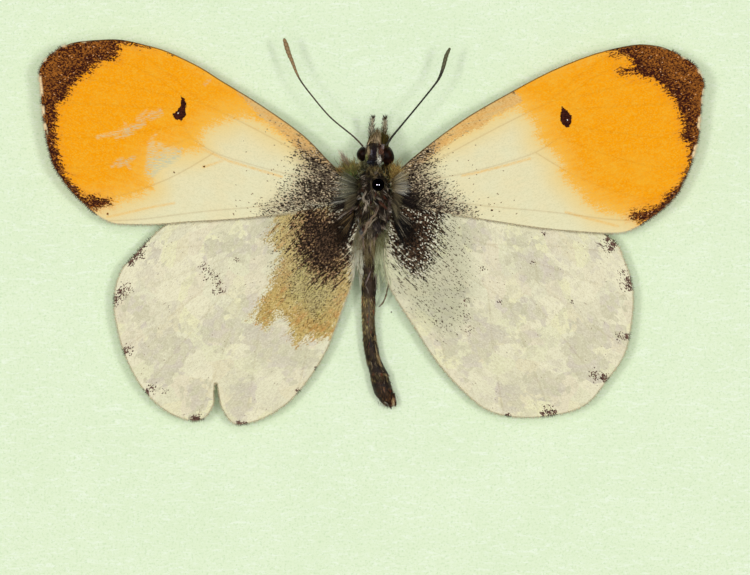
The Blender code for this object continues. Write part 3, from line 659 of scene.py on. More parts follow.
def forewing_lower_scales(settings):
    r, _, place, height, first, second, third, ragged = wing_recipe(
        "forewing_lower_scales", settings, 0.15, 1.2, 3.0, 0.6, 2.0)
    cream = r.blend(first * 0.3, tone(233, 231, 205), tone(214, 208, 170))
    body = r.blend((r.field("orange") + ragged * 0.5 - 0.6).rises(-0.6, 0.6) > second, cream,
                   r.blend(third, tone(240, 178, 74), tone(233, 164, 60)))
    tip = r.blend(r.noise(place, 0.8, 3.0).rises(0.45, 0.6) > first,
                  tone(222, 220, 190), r.blend(second, settings.moss, tone(168, 160, 96)))
    body = r.blend((r.field("apex") + ragged * 0.4).rises(-0.6, 0.5) > first, body, tip)
    body = r.blend((r.field("spot") + 0.05).rises(-0.1, 0.1) > third, body, tone(60, 46, 38))
    body = r.blend(r.field("vein").rises(0.09, 0.0) * 0.4, body, tone(200, 186, 140), "MULTIPLY")
    return r.paint(body, height, 0.3, 0.02)


def hindwing_upper_scales(settings):
    r, rows, place, height, first, second, third, ragged = wing_recipe(
        "hindwing_upper_scales", settings, 0.1, 1.4, 4.0, 0.65, 1.7)
    rays = r.noise(rows.stretched(4.2, 0.5), 1.0, 3.0, 0.6)
    wavy = rows.stretched(0.85, 0.7).shifted(ragged * 0.22)
    _, patch, patch_b, patch_c = r.cells(wavy, 1.0, "2D")
    _, tile, tile_b, tile_c = r.cells(rows.stretched(2.8, 2.3), 1.0, "2D")

    # cream in faint patches, yellower, pinker or greyer by turns
    cream = r.blend(patch.rises(0.5, 0.65), tone(236, 231, 197), tone(235, 232, 187))
    cream = r.blend(patch_b.rises(0.5, 0.75) * 0.5, cream, settings.blush)
    cream = r.blend(patch_c.rises(0.55, 0.8) * 0.45, cream, tone(216, 218, 186))
    cream = r.blend(tile * 0.22, cream, tone(240, 234, 198))
    cream = r.blend(rays.rises(0.45, 0.75) * 0.2, cream, tone(214, 208, 176))

    # the marbling of the underside shows through in grey blocks
    marbled = (r.field("marble") + (tile - 0.5) * 0.8 + ragged * 0.4).rises(-0.07, 0.07)
    small = (r.noise(place, 0.9, 3.0, 0.6) + (tile_b - 0.5) * 0.14).rises(0.56, 0.58) * 0.45
    grey = r.blend(tile_c.rises(0.4, 0.6), settings.marble, tone(208, 198, 182))
    grey = r.blend(patch * 0.6, grey, tone(194, 192, 162))
    body = r.blend(marbled.math("MAXIMUM", small) * (tile_b * 0.35 + 0.62), cream, grey)
    body = r.blend(first * first * 0.45, body, tone(188, 178, 148))
    body = r.blend(third * third * 0.4, body, tone(246, 242, 214))
    streak = r.noise(rows.stretched(13.0, 1.2), 1.0, 2.0, 0.6)
    body = r.blend(streak.rises(0.5, 0.75) * 0.35, body, tone(206, 196, 166))
    vein = r.field("vein").rises(0.085, 0.0)
    body = r.blend(vein * (r.noise(place, 0.5, 3.0).rises(0.4, 0.65) * 0.16 + 0.05), body,
                   tone(196, 176, 134), "MULTIPLY")

    # greased patch beside the body of the left wing
    stain_zone = r.field("stain")
    greased = (stain_zone + ragged * 0.6 + (rays - 0.5) * 1.4).rises(-0.8, 0.6)
    brown = r.blend(r.noise(place, 0.7, 4.0, 0.6).rises(0.35, 0.65), settings.stain,
                    tone(202, 180, 112))
    brown = r.blend((rays + (tile - 0.5) * 0.2).rises(0.5, 0.68) * 0.6, brown, tone(200, 140, 76))
    inner = (stain_zone + ragged * 0.8).rises(0.7, 1.7)
    brown = r.blend(inner * 0.7, brown, r.blend(tile, tone(172, 158, 104), tone(178, 170, 96)))
    brown = r.blend(second.rises(0.5, 1.0) * 0.7, brown, tone(122, 100, 54))
    brown = r.blend(third.rises(0.7, 1.0) * 0.5, brown, tone(238, 214, 150))
    body = r.blend((greased * ((tile_c + rays) * 0.2 + 0.75)).beats(third, 0.45), body, brown)
    body = r.blend((greased * (inner * 0.16 + 0.08)).beats(first, 0.06), body, tone(104, 82, 40))

    # greyer ground round the base with fine dark specks, then dark dust, thinning outwards in rays
    haze = (r.field("haze") + ragged * 0.6 + (rays - 0.5) * 1.6).rises(-1.2, 1.0)
    body = r.blend(haze * (greased * -0.4 + 0.58), body, tone(178, 178, 146))
    body = r.blend((haze * (streak.rises(0.4, 0.7) * 0.30 + 0.04)).beats(first, 0.05), body,
                   tone(76, 62, 46))
    dust = r.field("dust")
    body = r.blend(dust.rises(-0.4, 1.3) * 0.72, body,
                   r.blend(greased, tone(112, 102, 86), tone(124, 94, 52)))
    dusty = (dust + ragged * 0.8 + (rays - 0.5) * 3.6 + (streak - 0.5) * 3.0).rises(-1.0, 1.2)
    _, fleck, _, _ = r.cells(rows.stretched(17.0, 11.0), 1.0, "2D")
    grit = r.blend(second.rises(0.4, 1.0) * 0.8, settings.dust, tone(102, 78, 58))
    body = r.blend((dusty * 0.95).beats(third * 0.55 + fleck * 0.45, 0.1), body, grit)
    light = r.blend(greased, tone(232, 228, 204), tone(192, 154, 108))
    bare = (dust + ragged * 0.8 + (rays - 0.5) * 3.0).rises(2.0, 0.7) * (greased * -0.2 + 1.0)
    body = r.blend(bare * dust.rises(-0.6, 0.4) * (fleck * -1.0 > -0.11), body, light)
    body = r.blend(first > 0.9987, body, tone(172, 158, 130))

    # dark scales of the margin, then painted shade along the rim
    marks = (r.field("marks") + ragged * 0.35).rises(-0.05, 0.75) * 0.85
    speckle = (r.field("speckle") + ragged * 0.3 + (rays - 0.5)).rises(0.0, 1.1) * 0.45
    body = r.blend(marks.math("MAXIMUM", speckle).beats(second, 0.08), body,
                   r.blend(first, tone(50, 34, 26), tone(126, 96, 84)))
    # painted shade: a faint darker line along the rim, where the membrane's edge catches shadow
    rim = r.field("edge").rises(0.10, 0.0) * 0.15
    body = r.blend(rim, body, tone(176, 158, 120))
    relief = height * 0.6 + rays * 0.5 + vein * 1.5
    return r.paint(body, relief, 0.35, 0.02)


def hindwing_lower_scales(settings):
    r, _, place, height, first, second, third, ragged = wing_recipe(
        "hindwing_lower_scales", settings, 0.15, 1.2, 3.0, 0.6, 2.0)
    cream = r.blend(first * 0.3, tone(236, 235, 214), tone(218, 214, 184))
    green = r.blend(second, settings.moss, tone(186, 172, 62))
    green = r.blend(third * 0.35, green, tone(66, 70, 44))
    patches = (r.field("marble") + ragged * 0.5 + 0.15).rises(-0.1, 0.1)
    small = r.noise(place, 0.8, 3.0, 0.6).rises(0.55, 0.57)
    body = r.blend(patches.math("MAXIMUM", small) * 0.9 > first, cream, green)
    body = r.blend(r.field("vein").rises(0.1, 0.0) * 0.5, body, tone(196, 184, 96))
    return r.paint(body, height, 0.3, 0.02)


def hair_finish():
    r = Recipe("hair", Roughness=0.5, Specular_IOR_Level=0.3)
    return r.paint(r.field("tint", "Color"))


def shell_finish(settings):
    """Dried skin of the body: wrinkled, dull brown-black with greyer dusting."""
    r = Recipe("body_shell", Roughness=0.6, Specular_IOR_Level=0.3)
    place = r.place()
    fine = r.noise(place, 6.0, 4.0, 0.6)
    base = r.blend(r.noise(place, 1.6, 3.0).rises(0.35, 0.7), settings.shell, tone(58, 44, 30))
    base = r.blend(fine.rises(0.55, 0.75) * 0.4, base, tone(104, 86, 64))
    pale = place.stretched(1.0, 0.45, 0.0).away_from(*PALE_SKIN).rises(0.8, 0.35)
    base = r.blend(pale * 0.48, base, r.blend(fine, tone(92, 76, 52), tone(150, 130, 92)))
    return r.paint(base, fine, 0.6, 0.06, fine.rises(0.3, 0.8) * 0.3 + 0.45)


def eye_finish(settings):
    """Compound eye: rows of tiny facets under a dull gloss."""
    r = Recipe("compound_eye", Roughness=0.35, Specular_IOR_Level=0.12)
    place = r.place()
    distance, first, _, _ = r.cells(place.stretched(26.0, 26.0, 26.0), 0.25)
    mottled = r.blend(r.noise(place, 3.5, 3.0).rises(0.4, 0.7), settings.eye, tone(44, 22, 12))
    base = r.blend(first * 0.4, mottled, tone(14, 8, 8))
    return r.paint(base, distance * -1.0 + 1.0, 0.5, 0.012)


def chitin_finish(name, dark, pale):
    """Jointed limbs: a darker ring at each joint along the piece, and a dark club."""
    r = Recipe(name, Roughness=0.45, Specular_IOR_Level=0.4)
    joint = r.field("along").math("FRACT").rises(0.75, 1.0)
    speckle = r.noise(r.place(), 14.0, 3.0)
    base = r.blend(speckle.rises(0.4, 0.75) * 0.55, tone(*dark), tone(*pale))
    base = r.blend(joint * 0.75, base, [channel * 0.35 for channel in tone(*dark)])
    base = r.blend(r.field("club"), base, r.blend(joint * 0.6, tone(*pale), tone(*dark)))
    return r.paint(base, speckle + joint * -1.0, 0.4, 0.02)


def paper_finish(settings):
    """Lining paper: faint fibres and clouding over a smooth pale green, and one speck."""
    r = Recipe("lining_paper", Roughness=0.85, Specular_IOR_Level=0.1)
    place = r.place()
    clouds = r.noise(place, 0.16, 3.0, 0.6)
    fibres = r.noise(place.stretched(1.0, 4.0), 1.0, 5.0, 0.7, 1.5)
    fibres_across = r.noise(place.stretched(4.0, 1.0), 1.1, 5.0, 0.7, 1.5)
    grain = r.noise(place, 6.0, 4.0, 0.75)
    base = r.blend(clouds.rises(0.35, 0.7) * 0.6, settings.paper, tone(233, 246, 214))
    base = r.blend(fibres.rises(0.50, 0.64) * 0.7, base, tone(242, 252, 232))
    base = r.blend(fibres_across.rises(0.54, 0.68) * 0.5, base, tone(238, 250, 224))
    base = r.blend(grain.rises(0.5, 0.66) * 0.8, base, tone(206, 228, 186))
    speck = place.stretched(1.0, 1.0, 0.0).away_from(*PAPER_SPECK).rises(0.07, 0.03)
    base = r.blend(speck, base, tone(64, 54, 38))
    return r.paint(base, grain * 0.6 + fibres, 0.25, 0.02)


def foam_finish(settings):
    """Closed-cell foam: tiny blown cells, cut open on the sides."""
    r = Recipe("pinning_foam", Roughness=0.9, Specular_IOR_Level=0.2)
    place = r.place()
    distance, first, _, _ = r.cells(place.stretched(3.4, 3.4, 3.4))
    fine, _, _, _ = r.cells(place.stretched(9.0, 9.0, 9.0))
    wall = distance.rises(0.1, 0.55)
    base = r.blend(first * 0.35, settings.foam, tone(214, 216, 206))
    base = r.blend(wall * 0.3, base, tone(244, 245, 240))
    return r.paint(base, wall + fine * 0.4, 0.8, 0.12)


def enamel_finish(settings):
    """Black glass that mirrors the lamps from its crown only, and scatters a little."""
    r = Recipe("pin_enamel", Roughness=0.05, Metallic=1.0, Specular_Tint=(0.0, 0.0, 0.0, 1.0))
    dull = r.noise(r.place(), 5.0, 3.0).rises(0.4, 0.8)
    sides = r.blend(dull, tone(20, 20, 24), tone(34, 33, 38))
    crown = r.field("crown").rises(0.74, 0.90)
    return r.paint(r.blend(crown, sides, settings.enamel), roughness=dull * 0.03 + 0.03)


def steel_finish(settings):
    """Steel drawn into wire, its streaks along the pin."""
    r = Recipe("pin_steel", Metallic=0.9, Roughness=0.35)
    drawn = r.noise(r.place().stretched(22.0, 22.0, 0.8), 1.0, 3.0)
    return r.paint(r.blend(drawn, settings.steel, tone(86, 84, 84)), drawn, 0.25, 0.01,
                   drawn * 0.25 + 0.25)


# ---------------------------------------------------------------- making pieces
def deselect_all():
    for picked in bpy.context.selected_objects:
        picked.select_set(False)


def choose(piece):
    deselect_all()
    piece.select_set(True)
    bpy.context.view_layer.objects.active = piece


def settle(piece, name, material, slot, *nodes):
    """Name a finished piece, give it its finish and let it ride on the body."""
    piece.name = piece.data.name = name
    piece.data.materials.clear()
    for finish in material if isinstance(material, (list, tuple)) else [material]:
        piece.data.materials.append(finish)
    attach(piece, "root")
    if nodes:
        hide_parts(*nodes)


def at(point):
    """A point in millimetres, its height from the paper, as metres in the frame."""
    return Vector((point[0] * MM, point[1] * MM, (PAPER_TOP + point[2]) * MM))


def object_from_arrays(name, points, triangles):
    """A smooth mesh object from points in mm, heights from the paper."""
    mesh = bpy.data.meshes.new(name)
    places = np.asarray(points, float) + (0.0, 0.0, PAPER_TOP)
    mesh.vertices.add(len(places))
    mesh.vertices.foreach_set("co", (places * MM).astype(np.float32).ravel())
    corners = np.ascontiguousarray(triangles, dtype=np.int32)
    mesh.loops.add(corners.size)
    mesh.loops.foreach_set("vertex_index", corners.ravel())
    mesh.polygons.add(len(corners))
    mesh.polygons.foreach_set("loop_start", np.arange(0, corners.size, 3, dtype=np.int32))
    mesh.polygons.foreach_set("use_smooth", np.ones(len(corners), bool))
    mesh.update(calc_edges=True)
    mesh.validate()
    piece = bpy.data.objects.new(name, mesh)
    bpy.context.scene.collection.objects.link(piece)
    return piece


def store(mesh, name, values, kind="FLOAT"):
    key = {"FLOAT": "value", "FLOAT_VECTOR": "vector", "FLOAT_COLOR": "color"}[kind]
    layer = mesh.attributes.new(name, kind, "POINT")
    layer.data.foreach_set(key, np.ascontiguousarray(values, dtype=np.float32).ravel())


def curve_through(points, steps):
    """Catmull-Rom curve through points of any number of coordinates."""
    p = np.asarray(points, float)
    padded = np.vstack([p[:1], p, p[-1:]])
    curve = []
    for i in range(len(p) - 1):
        a, b, c, d = padded[i:i + 4]
        for t in np.arange(steps) / steps:
            curve.append(b + 0.5 * ((c - a) * t + (2 * a - 5 * b + 4 * c - d) * t * t
                                    + (3 * b - a - 3 * c + d) * t ** 3))
    curve.append(p[-1])
    return np.array(curve)


def unit(vectors):
    """The same directions, each of length 1."""
    return vectors / np.linalg.norm(vectors, axis=-1, keepdims=True)


def travelled(line):
    """How far along a line each of its points is."""
    return np.concatenate([[0.0], np.cumsum(np.linalg.norm(np.diff(line, axis=0), axis=1))])


def sampled(rows, along, places):
    """Rows that are known at the lengths along, read at other places."""
    return np.column_stack([np.interp(places, along, column) for column in rows.T])


def even_line(line, step):
    along = travelled(line)
    return sampled(line, along, np.linspace(0.0, along[-1], max(int(along[-1] / step), 2)))


def segment_distance(points, start, end):
    """Distance from each point to the straight line between two ends."""
    start = np.asarray(start, float)
    span = np.asarray(end, float) - start
    share = np.clip(((points - start) @ span) / max(float(span @ span), 1e-12), 0.0, 1.0)
    return np.hypot(*(points - start - share[:, None] * span).T)


def line_distance(points, lines):
    """Distance from each point to the nearest of the open lines."""
    nearest = np.full(len(points), FAR)
    for line in lines:
        for start, end in zip(line[:-1], line[1:]):
            nearest = np.minimum(nearest, segment_distance(points, start, end))
    return nearest


def zone_depth(points, outline):
    """Distance from each point to a closed outline, positive inside it."""
    corners = np.asarray(outline, float)
    nearest = np.full(len(points), FAR)
    inside = np.zeros(len(points), bool)
    x, y = points.T
    for (ax, ay), (bx, by) in zip(corners, np.roll(corners, -1, axis=0)):
        nearest = np.minimum(nearest, segment_distance(points, (ax, ay), (bx, by)))
        if ay != by:
            inside ^= ((ay > y) != (by > y)) & (x < (bx - ax) * (y - ay) / (by - ay) + ax)
    return np.where(inside, nearest, -nearest)


def stroke_depth(points, strokes):
    """Depth inside the nearest of some strokes, each two ends and a width."""
    depth = np.full(len(points), -FAR)
    for ax, ay, bx, by, width in strokes:
        depth = np.maximum(depth, width - segment_distance(points, (ax, ay), (bx, by)))
    return depth


def dot_strength(points, dots):
    """1 at the middle of each dot, falling to 0 at its radius."""
    strength = np.zeros(len(points))
    for x, y, radius in dots:
        away = np.hypot(points[:, 0] - x, points[:, 1] - y)
        strength = np.maximum(strength, 1.0 - away / radius)
    return strength


# ---------------------------------------------------------------- wings
def upper_outline(node):
    """The rim of a wing node's upper face in mm, anticlockwise."""
    shell = bmesh.new()
    shell.from_mesh(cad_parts[node].data)
    bmesh.ops.remove_doubles(shell, verts=shell.verts, dist=WELD * MM)
    shell.normal_update()
    upper = [face for face in shell.faces if face.normal.z > LEAST_UPWARD]
    top = set(upper)
    following = {}
    for face in upper:
        for loop in face.loops:
            if sum(other in top for other in loop.edge.link_faces) == 1:
                following[loop.vert] = loop.link_loop_next.vert
    longest = []
    while following:
        start, vert = next(iter(following.items()))
        ring = [start]
        del following[start]
        while vert in following:
            ring.append(vert)
            vert = following.pop(vert)
        if len(ring) > len(longest):
            longest = ring
    outline = np.array([(vert.co.x / MM, vert.co.y / MM) for vert in longest])
    shell.free()
    return outline


def even_ring(outline, step, softness):
    """The outline as evenly spaced points, its corners rounded a little."""
    closed = np.vstack([outline, outline[:1]])
    along = travelled(closed)
    count = int(along[-1] / step)
    ring = sampled(closed, along, np.linspace(0.0, along[-1], count, endpoint=False))
    reach = int(3 * softness / step)
    weights = np.exp(-0.5 * (np.arange(-reach, reach + 1) * step / softness) ** 2)
    weights /= weights.sum()
    return sum(w * np.roll(ring, shift, axis=0)
               for w, shift in zip(weights, range(-reach, reach + 1)))


def outward(ring):
    """Unit vectors across an anticlockwise ring, pointing out of it."""
    ahead = np.roll(ring, -1, axis=0) - np.roll(ring, 1, axis=0)
    ahead /= np.hypot(*ahead.T)[:, None]
    return np.column_stack([ahead[:, 1], -ahead[:, 0]])


def wing_height(points, side, drop):
    """Middle of a wing above the paper: highest at its root, sinking outwards."""
    reach = np.hypot(*(points - WING_ROOT[side]).T) / WING_LOW_REACH
    return WING_LOW_HEIGHT + (WING_ROOT_HEIGHT - WING_LOW_HEIGHT) * (1.0 - reach) ** 2 - drop


def cockle(points):
    """Slight waves of the dried membrane, in mm."""
    x, y = points.T
    return (0.030 * np.sin(0.95 * x + 0.35 * y + 0.7) * np.sin(0.6 * y - 0.25 * x)
            + 0.016 * np.sin(2.3 * x - 1.2 * y) * np.sin(1.9 * y + 0.8 * x))


def row_fields(points, side, axis):
    """Place on the wing as rows of scales have it: round the root, and out from it."""
    away = points - WING_ROOT[side]
    angle = np.arctan2(away[:, 1], away[:, 0] * MIRROR[side]) - axis
    reach = np.hypot(*away.T)
    return np.column_stack([angle * reach, reach, np.zeros(len(points))])


def forewing_fields(points, side):
    worn = np.full(len(points), -FAR)
    if side == "left":
        worn = np.maximum(zone_depth(points, WORN_PATCH), stroke_depth(points, SCRATCHES))
    zones = {"orange": ORANGE_ZONE, "apex": APEX_ZONE, "strip": COSTAL_STRIP,
             "dust": FOREWING_DUST, "spot": CELL_SPOT}
    return {
        **{name: zone_depth(points, outlines[side]) for name, outlines in zones.items()},
        "flecks": dot_strength(points, [SPOT_FLECK[side]]),
        "pale": dot_strength(points, PALE_FRINGE[side]),
        "marks": dot_strength(points, FOREWING_MARKS[side]),
        "lines": stroke_depth(points, ORANGE_LINES[side]),
        "costa": line_distance(points, [curve_through(COSTA[side], 4)]),
        "worn": worn,
    }


def hindwing_fields(points, side):
    stain = zone_depth(points, STAIN) if side == "left" else np.full(len(points), -9.0)
    marble = np.max([zone_depth(points, outline) for outline in MARBLING[side]], axis=0)
    return {
        "marble": marble,
        "stain": stain,
        "dust": zone_depth(points, HINDWING_DUST[side]),
        "haze": zone_depth(points, HAZE[side]),
        "marks": dot_strength(points, HINDWING_MARKS[side]),
        "speckle": dot_strength(points, HINDWING_SPECKLE[side]),
    }


def wing_grid(ring, veins):
    """Points inside the ring, close and even, with rows of them along the veins."""
    low, high = ring.min(axis=0), ring.max(axis=0)
    across = np.arange(low[0], high[0], WING_GRID)
    heights = np.arange(low[1], high[1], WING_GRID * math.sqrt(0.75))
    spots = np.vstack([np.column_stack([across + WING_GRID / 2 * (k % 2),
                                        np.full(len(across), y)])
                       for k, y in enumerate(heights)])
    spots = spots[zone_depth(spots, ring) > WING_GRID * RIM_GAP]
    spots = spots[line_distance(spots, veins) > WING_GRID * VEIN_GAP]
    crest = np.vstack(veins)
    crest = crest[zone_depth(crest, ring) > WING_GRID * RIM_GAP]
    return np.vstack([spots, crest])


def wing_sheet(node, side, drop, axis, veins, fields, finishes, slot):
    """A wing as a thin closed sheet that carries the pattern's fields; returns its rim."""
    ring = even_ring(upper_outline(node), WING_GRID, RIM_SOFTNESS)
    ring = ring - outward(ring) * FRINGE_INSET
    mirror = (-MIRROR[side], 1.0)
    lines = [even_line(curve_through(np.array(vein) * mirror, 8), WING_GRID) for vein in veins]
    flat = np.vstack([ring, wing_grid(ring, lines)])
    loop = [(k, (k + 1) % len(ring)) for k in range(len(ring))]
    verts, _, faces, _, _, _ = delaunay_2d_cdt([Vector(p) for p in flat], loop, [], 0, 1e-6,
                                               False)
    plan = np.array([tuple(v) for v in verts])
    tris = np.array([tuple(f) for f in faces], dtype=np.int64)
    tris = tris[zone_depth(plan[tris].mean(axis=1), ring) > 0]
    a, b, c = plan[tris[:, 0]], plan[tris[:, 1]], plan[tris[:, 2]]
    area = np.cross(b - a, c - a)
    tris[area < 0] = tris[area < 0][:, ::-1]
    tris = tris[np.abs(area) > 1e-9]

    vein = line_distance(plan, lines)
    ridge = VEIN_RIDGE * np.exp(-(vein / VEIN_REACH) ** 2)
    middle = wing_height(plan, side, drop) + cockle(plan) + ridge
    count = len(plan)
    top = np.column_stack([plan, middle + MEMBRANE / 2])
    under = np.column_stack([plan, middle - MEMBRANE / 2])
    keys = {tuple(e) for e in np.vstack([tris[:, [0, 1]], tris[:, [1, 2]], tris[:, [2, 0]]])}
    rim = np.array([e for e in keys if (e[1], e[0]) not in keys])
    walls = np.vstack([np.column_stack([rim[:, 0], rim[:, 0] + count, rim[:, 1] + count]),
                       np.column_stack([rim[:, 0], rim[:, 1] + count, rim[:, 1]])])
    triangles = np.vstack([tris, tris[:, ::-1] + count, walls])
    piece = object_from_arrays(node, np.vstack([top, under]), triangles)
    mesh = piece.data
    mesh.set_sharp_from_angle(angle=math.radians(50.0))
    stored = fields(plan, side)
    stored["vein"] = vein
    stored["edge"] = zone_depth(plan, ring)
    for name, values in stored.items():
        store(mesh, name, np.tile(values, 2))
    store(mesh, "rows", np.tile(row_fields(plan, side, axis), (2, 1)), "FLOAT_VECTOR")
    settle(piece, node + "_scaled", finishes, slot, node)
    slots = np.zeros(len(triangles), dtype=np.int32)     # 1, the lower finish, for the underside
    slots[len(tris):2 * len(tris)] = 1
    mesh.polygons.foreach_set("material_index", slots)
    return ring


# ---------------------------------------------------------------- hair
def strands(name, roots, aims, lengths, bends, radius, root_tint, tip_tint, joints=3):
    """Tapered three-sided hairs: root and aim vectors in mm, and a bend at the tip."""
    count = len(roots)
    lengths = np.broadcast_to(lengths, (count,))[:, None, None]
    t = np.linspace(0.0, 1.0, joints + 1)[None, :, None]
    aims = unit(aims)
    centre = (roots[:, None, :] + aims[:, None, :] * lengths * t
              + bends[:, None, :] * lengths * t ** 2)
    ahead = unit(aims[:, None, :] + 2 * bends[:, None, :] * t)
    helper = np.where(np.abs(aims[:, 2:]) > 0.8, [[1.0, 0.0, 0.0]], [[0.0, 0.0, 1.0]])
    side = unit(np.cross(ahead, helper[:, None, :]))
    lift = np.cross(ahead, side)
    width = np.broadcast_to(radius, (count,))[:, None, None] * (1.0 - HAIR_TAPER * t)
    turns = [2 * math.pi * k / 3 for k in range(3)]
    rings = [centre + (side * math.cos(turn) + lift * math.sin(turn)) * width for turn in turns]
    body = np.stack(rings, axis=2)[:, :-1]                     # hair, ring, corner, xyz
    points = np.concatenate([body.reshape(count, joints * 3, 3), centre[:, -1:, :]], axis=1)
    single = [(2, 1, 0)]
    for ring in range(joints - 1):
        for k in range(3):
            low, low_next = ring * 3 + k, ring * 3 + (k + 1) % 3
            single += [(low, low_next, low_next + 3), (low, low_next + 3, low + 3)]
    last = (joints - 1) * 3
    single += [(last + k, last + (k + 1) % 3, joints * 3) for k in range(3)]
    each = np.array(single)[None] + (np.arange(count) * (joints * 3 + 1))[:, None, None]
    piece = object_from_arrays(name, points.reshape(-1, 3), each.reshape(-1, 3))
    share = np.concatenate([np.repeat(np.linspace(0.0, 1.0, joints + 1)[:-1], 3), [1.0]])
    tint = (np.asarray(root_tint)[:, None, :] * (1 - share)[None, :, None]
            + np.asarray(tip_tint)[:, None, :] * share[None, :, None])
    tint = np.concatenate([tint, np.ones_like(tint[:, :, :1])], axis=2)
    store(piece.data, "tint", tint, "FLOAT_COLOR")
    return piece


def jitter(rng, count, spread):
    """A random vector for each hair."""
    return rng.normal(size=(count, 3)) * spread


def shades(rng, count, first, second, spread=0.25):
    """One colour a hair between two sRGB colours, each a little lighter or darker."""
    mix = rng.random((count, 1))
    base = np.array(tone(*first)) * (1 - mix) + np.array(tone(*second)) * mix
    return base * (1 + spread * (rng.random((count, 1)) * 2 - 1))


def ellipsoid_roots(rng, count, centre, half):
    """Places all over the skin of an ellipsoid, and the directions out of it."""
    ball = unit(rng.normal(size=(count, 3)))
    return np.array(centre) + ball * np.array(half) * SKIN_SHARE, unit(ball / np.array(half))


def coat_top(x, y):
    """Height of the body's skin or the forewings above the paper at a place."""
    plan = np.column_stack([x, y])
    wings = np.where(x > 0, wing_height(plan, "right", 0.0), wing_height(plan, "left", 0.0))
    height = np.where(np.abs(x) > 1.0, wings, 1.6)
    for (cx, cy, cz), (hx, hy, hz) in ((THORAX_CENTRE, THORAX_HALF), (HEAD_CENTRE, HEAD_HALF)):
        inside = 1 - ((x - cx) / hx) ** 2 - ((y - cy) / hy) ** 2
        skin = cz + hz * np.sqrt(np.maximum(inside, 0))
        height = np.maximum(height, np.where(inside > 0, skin, 0))
    return height


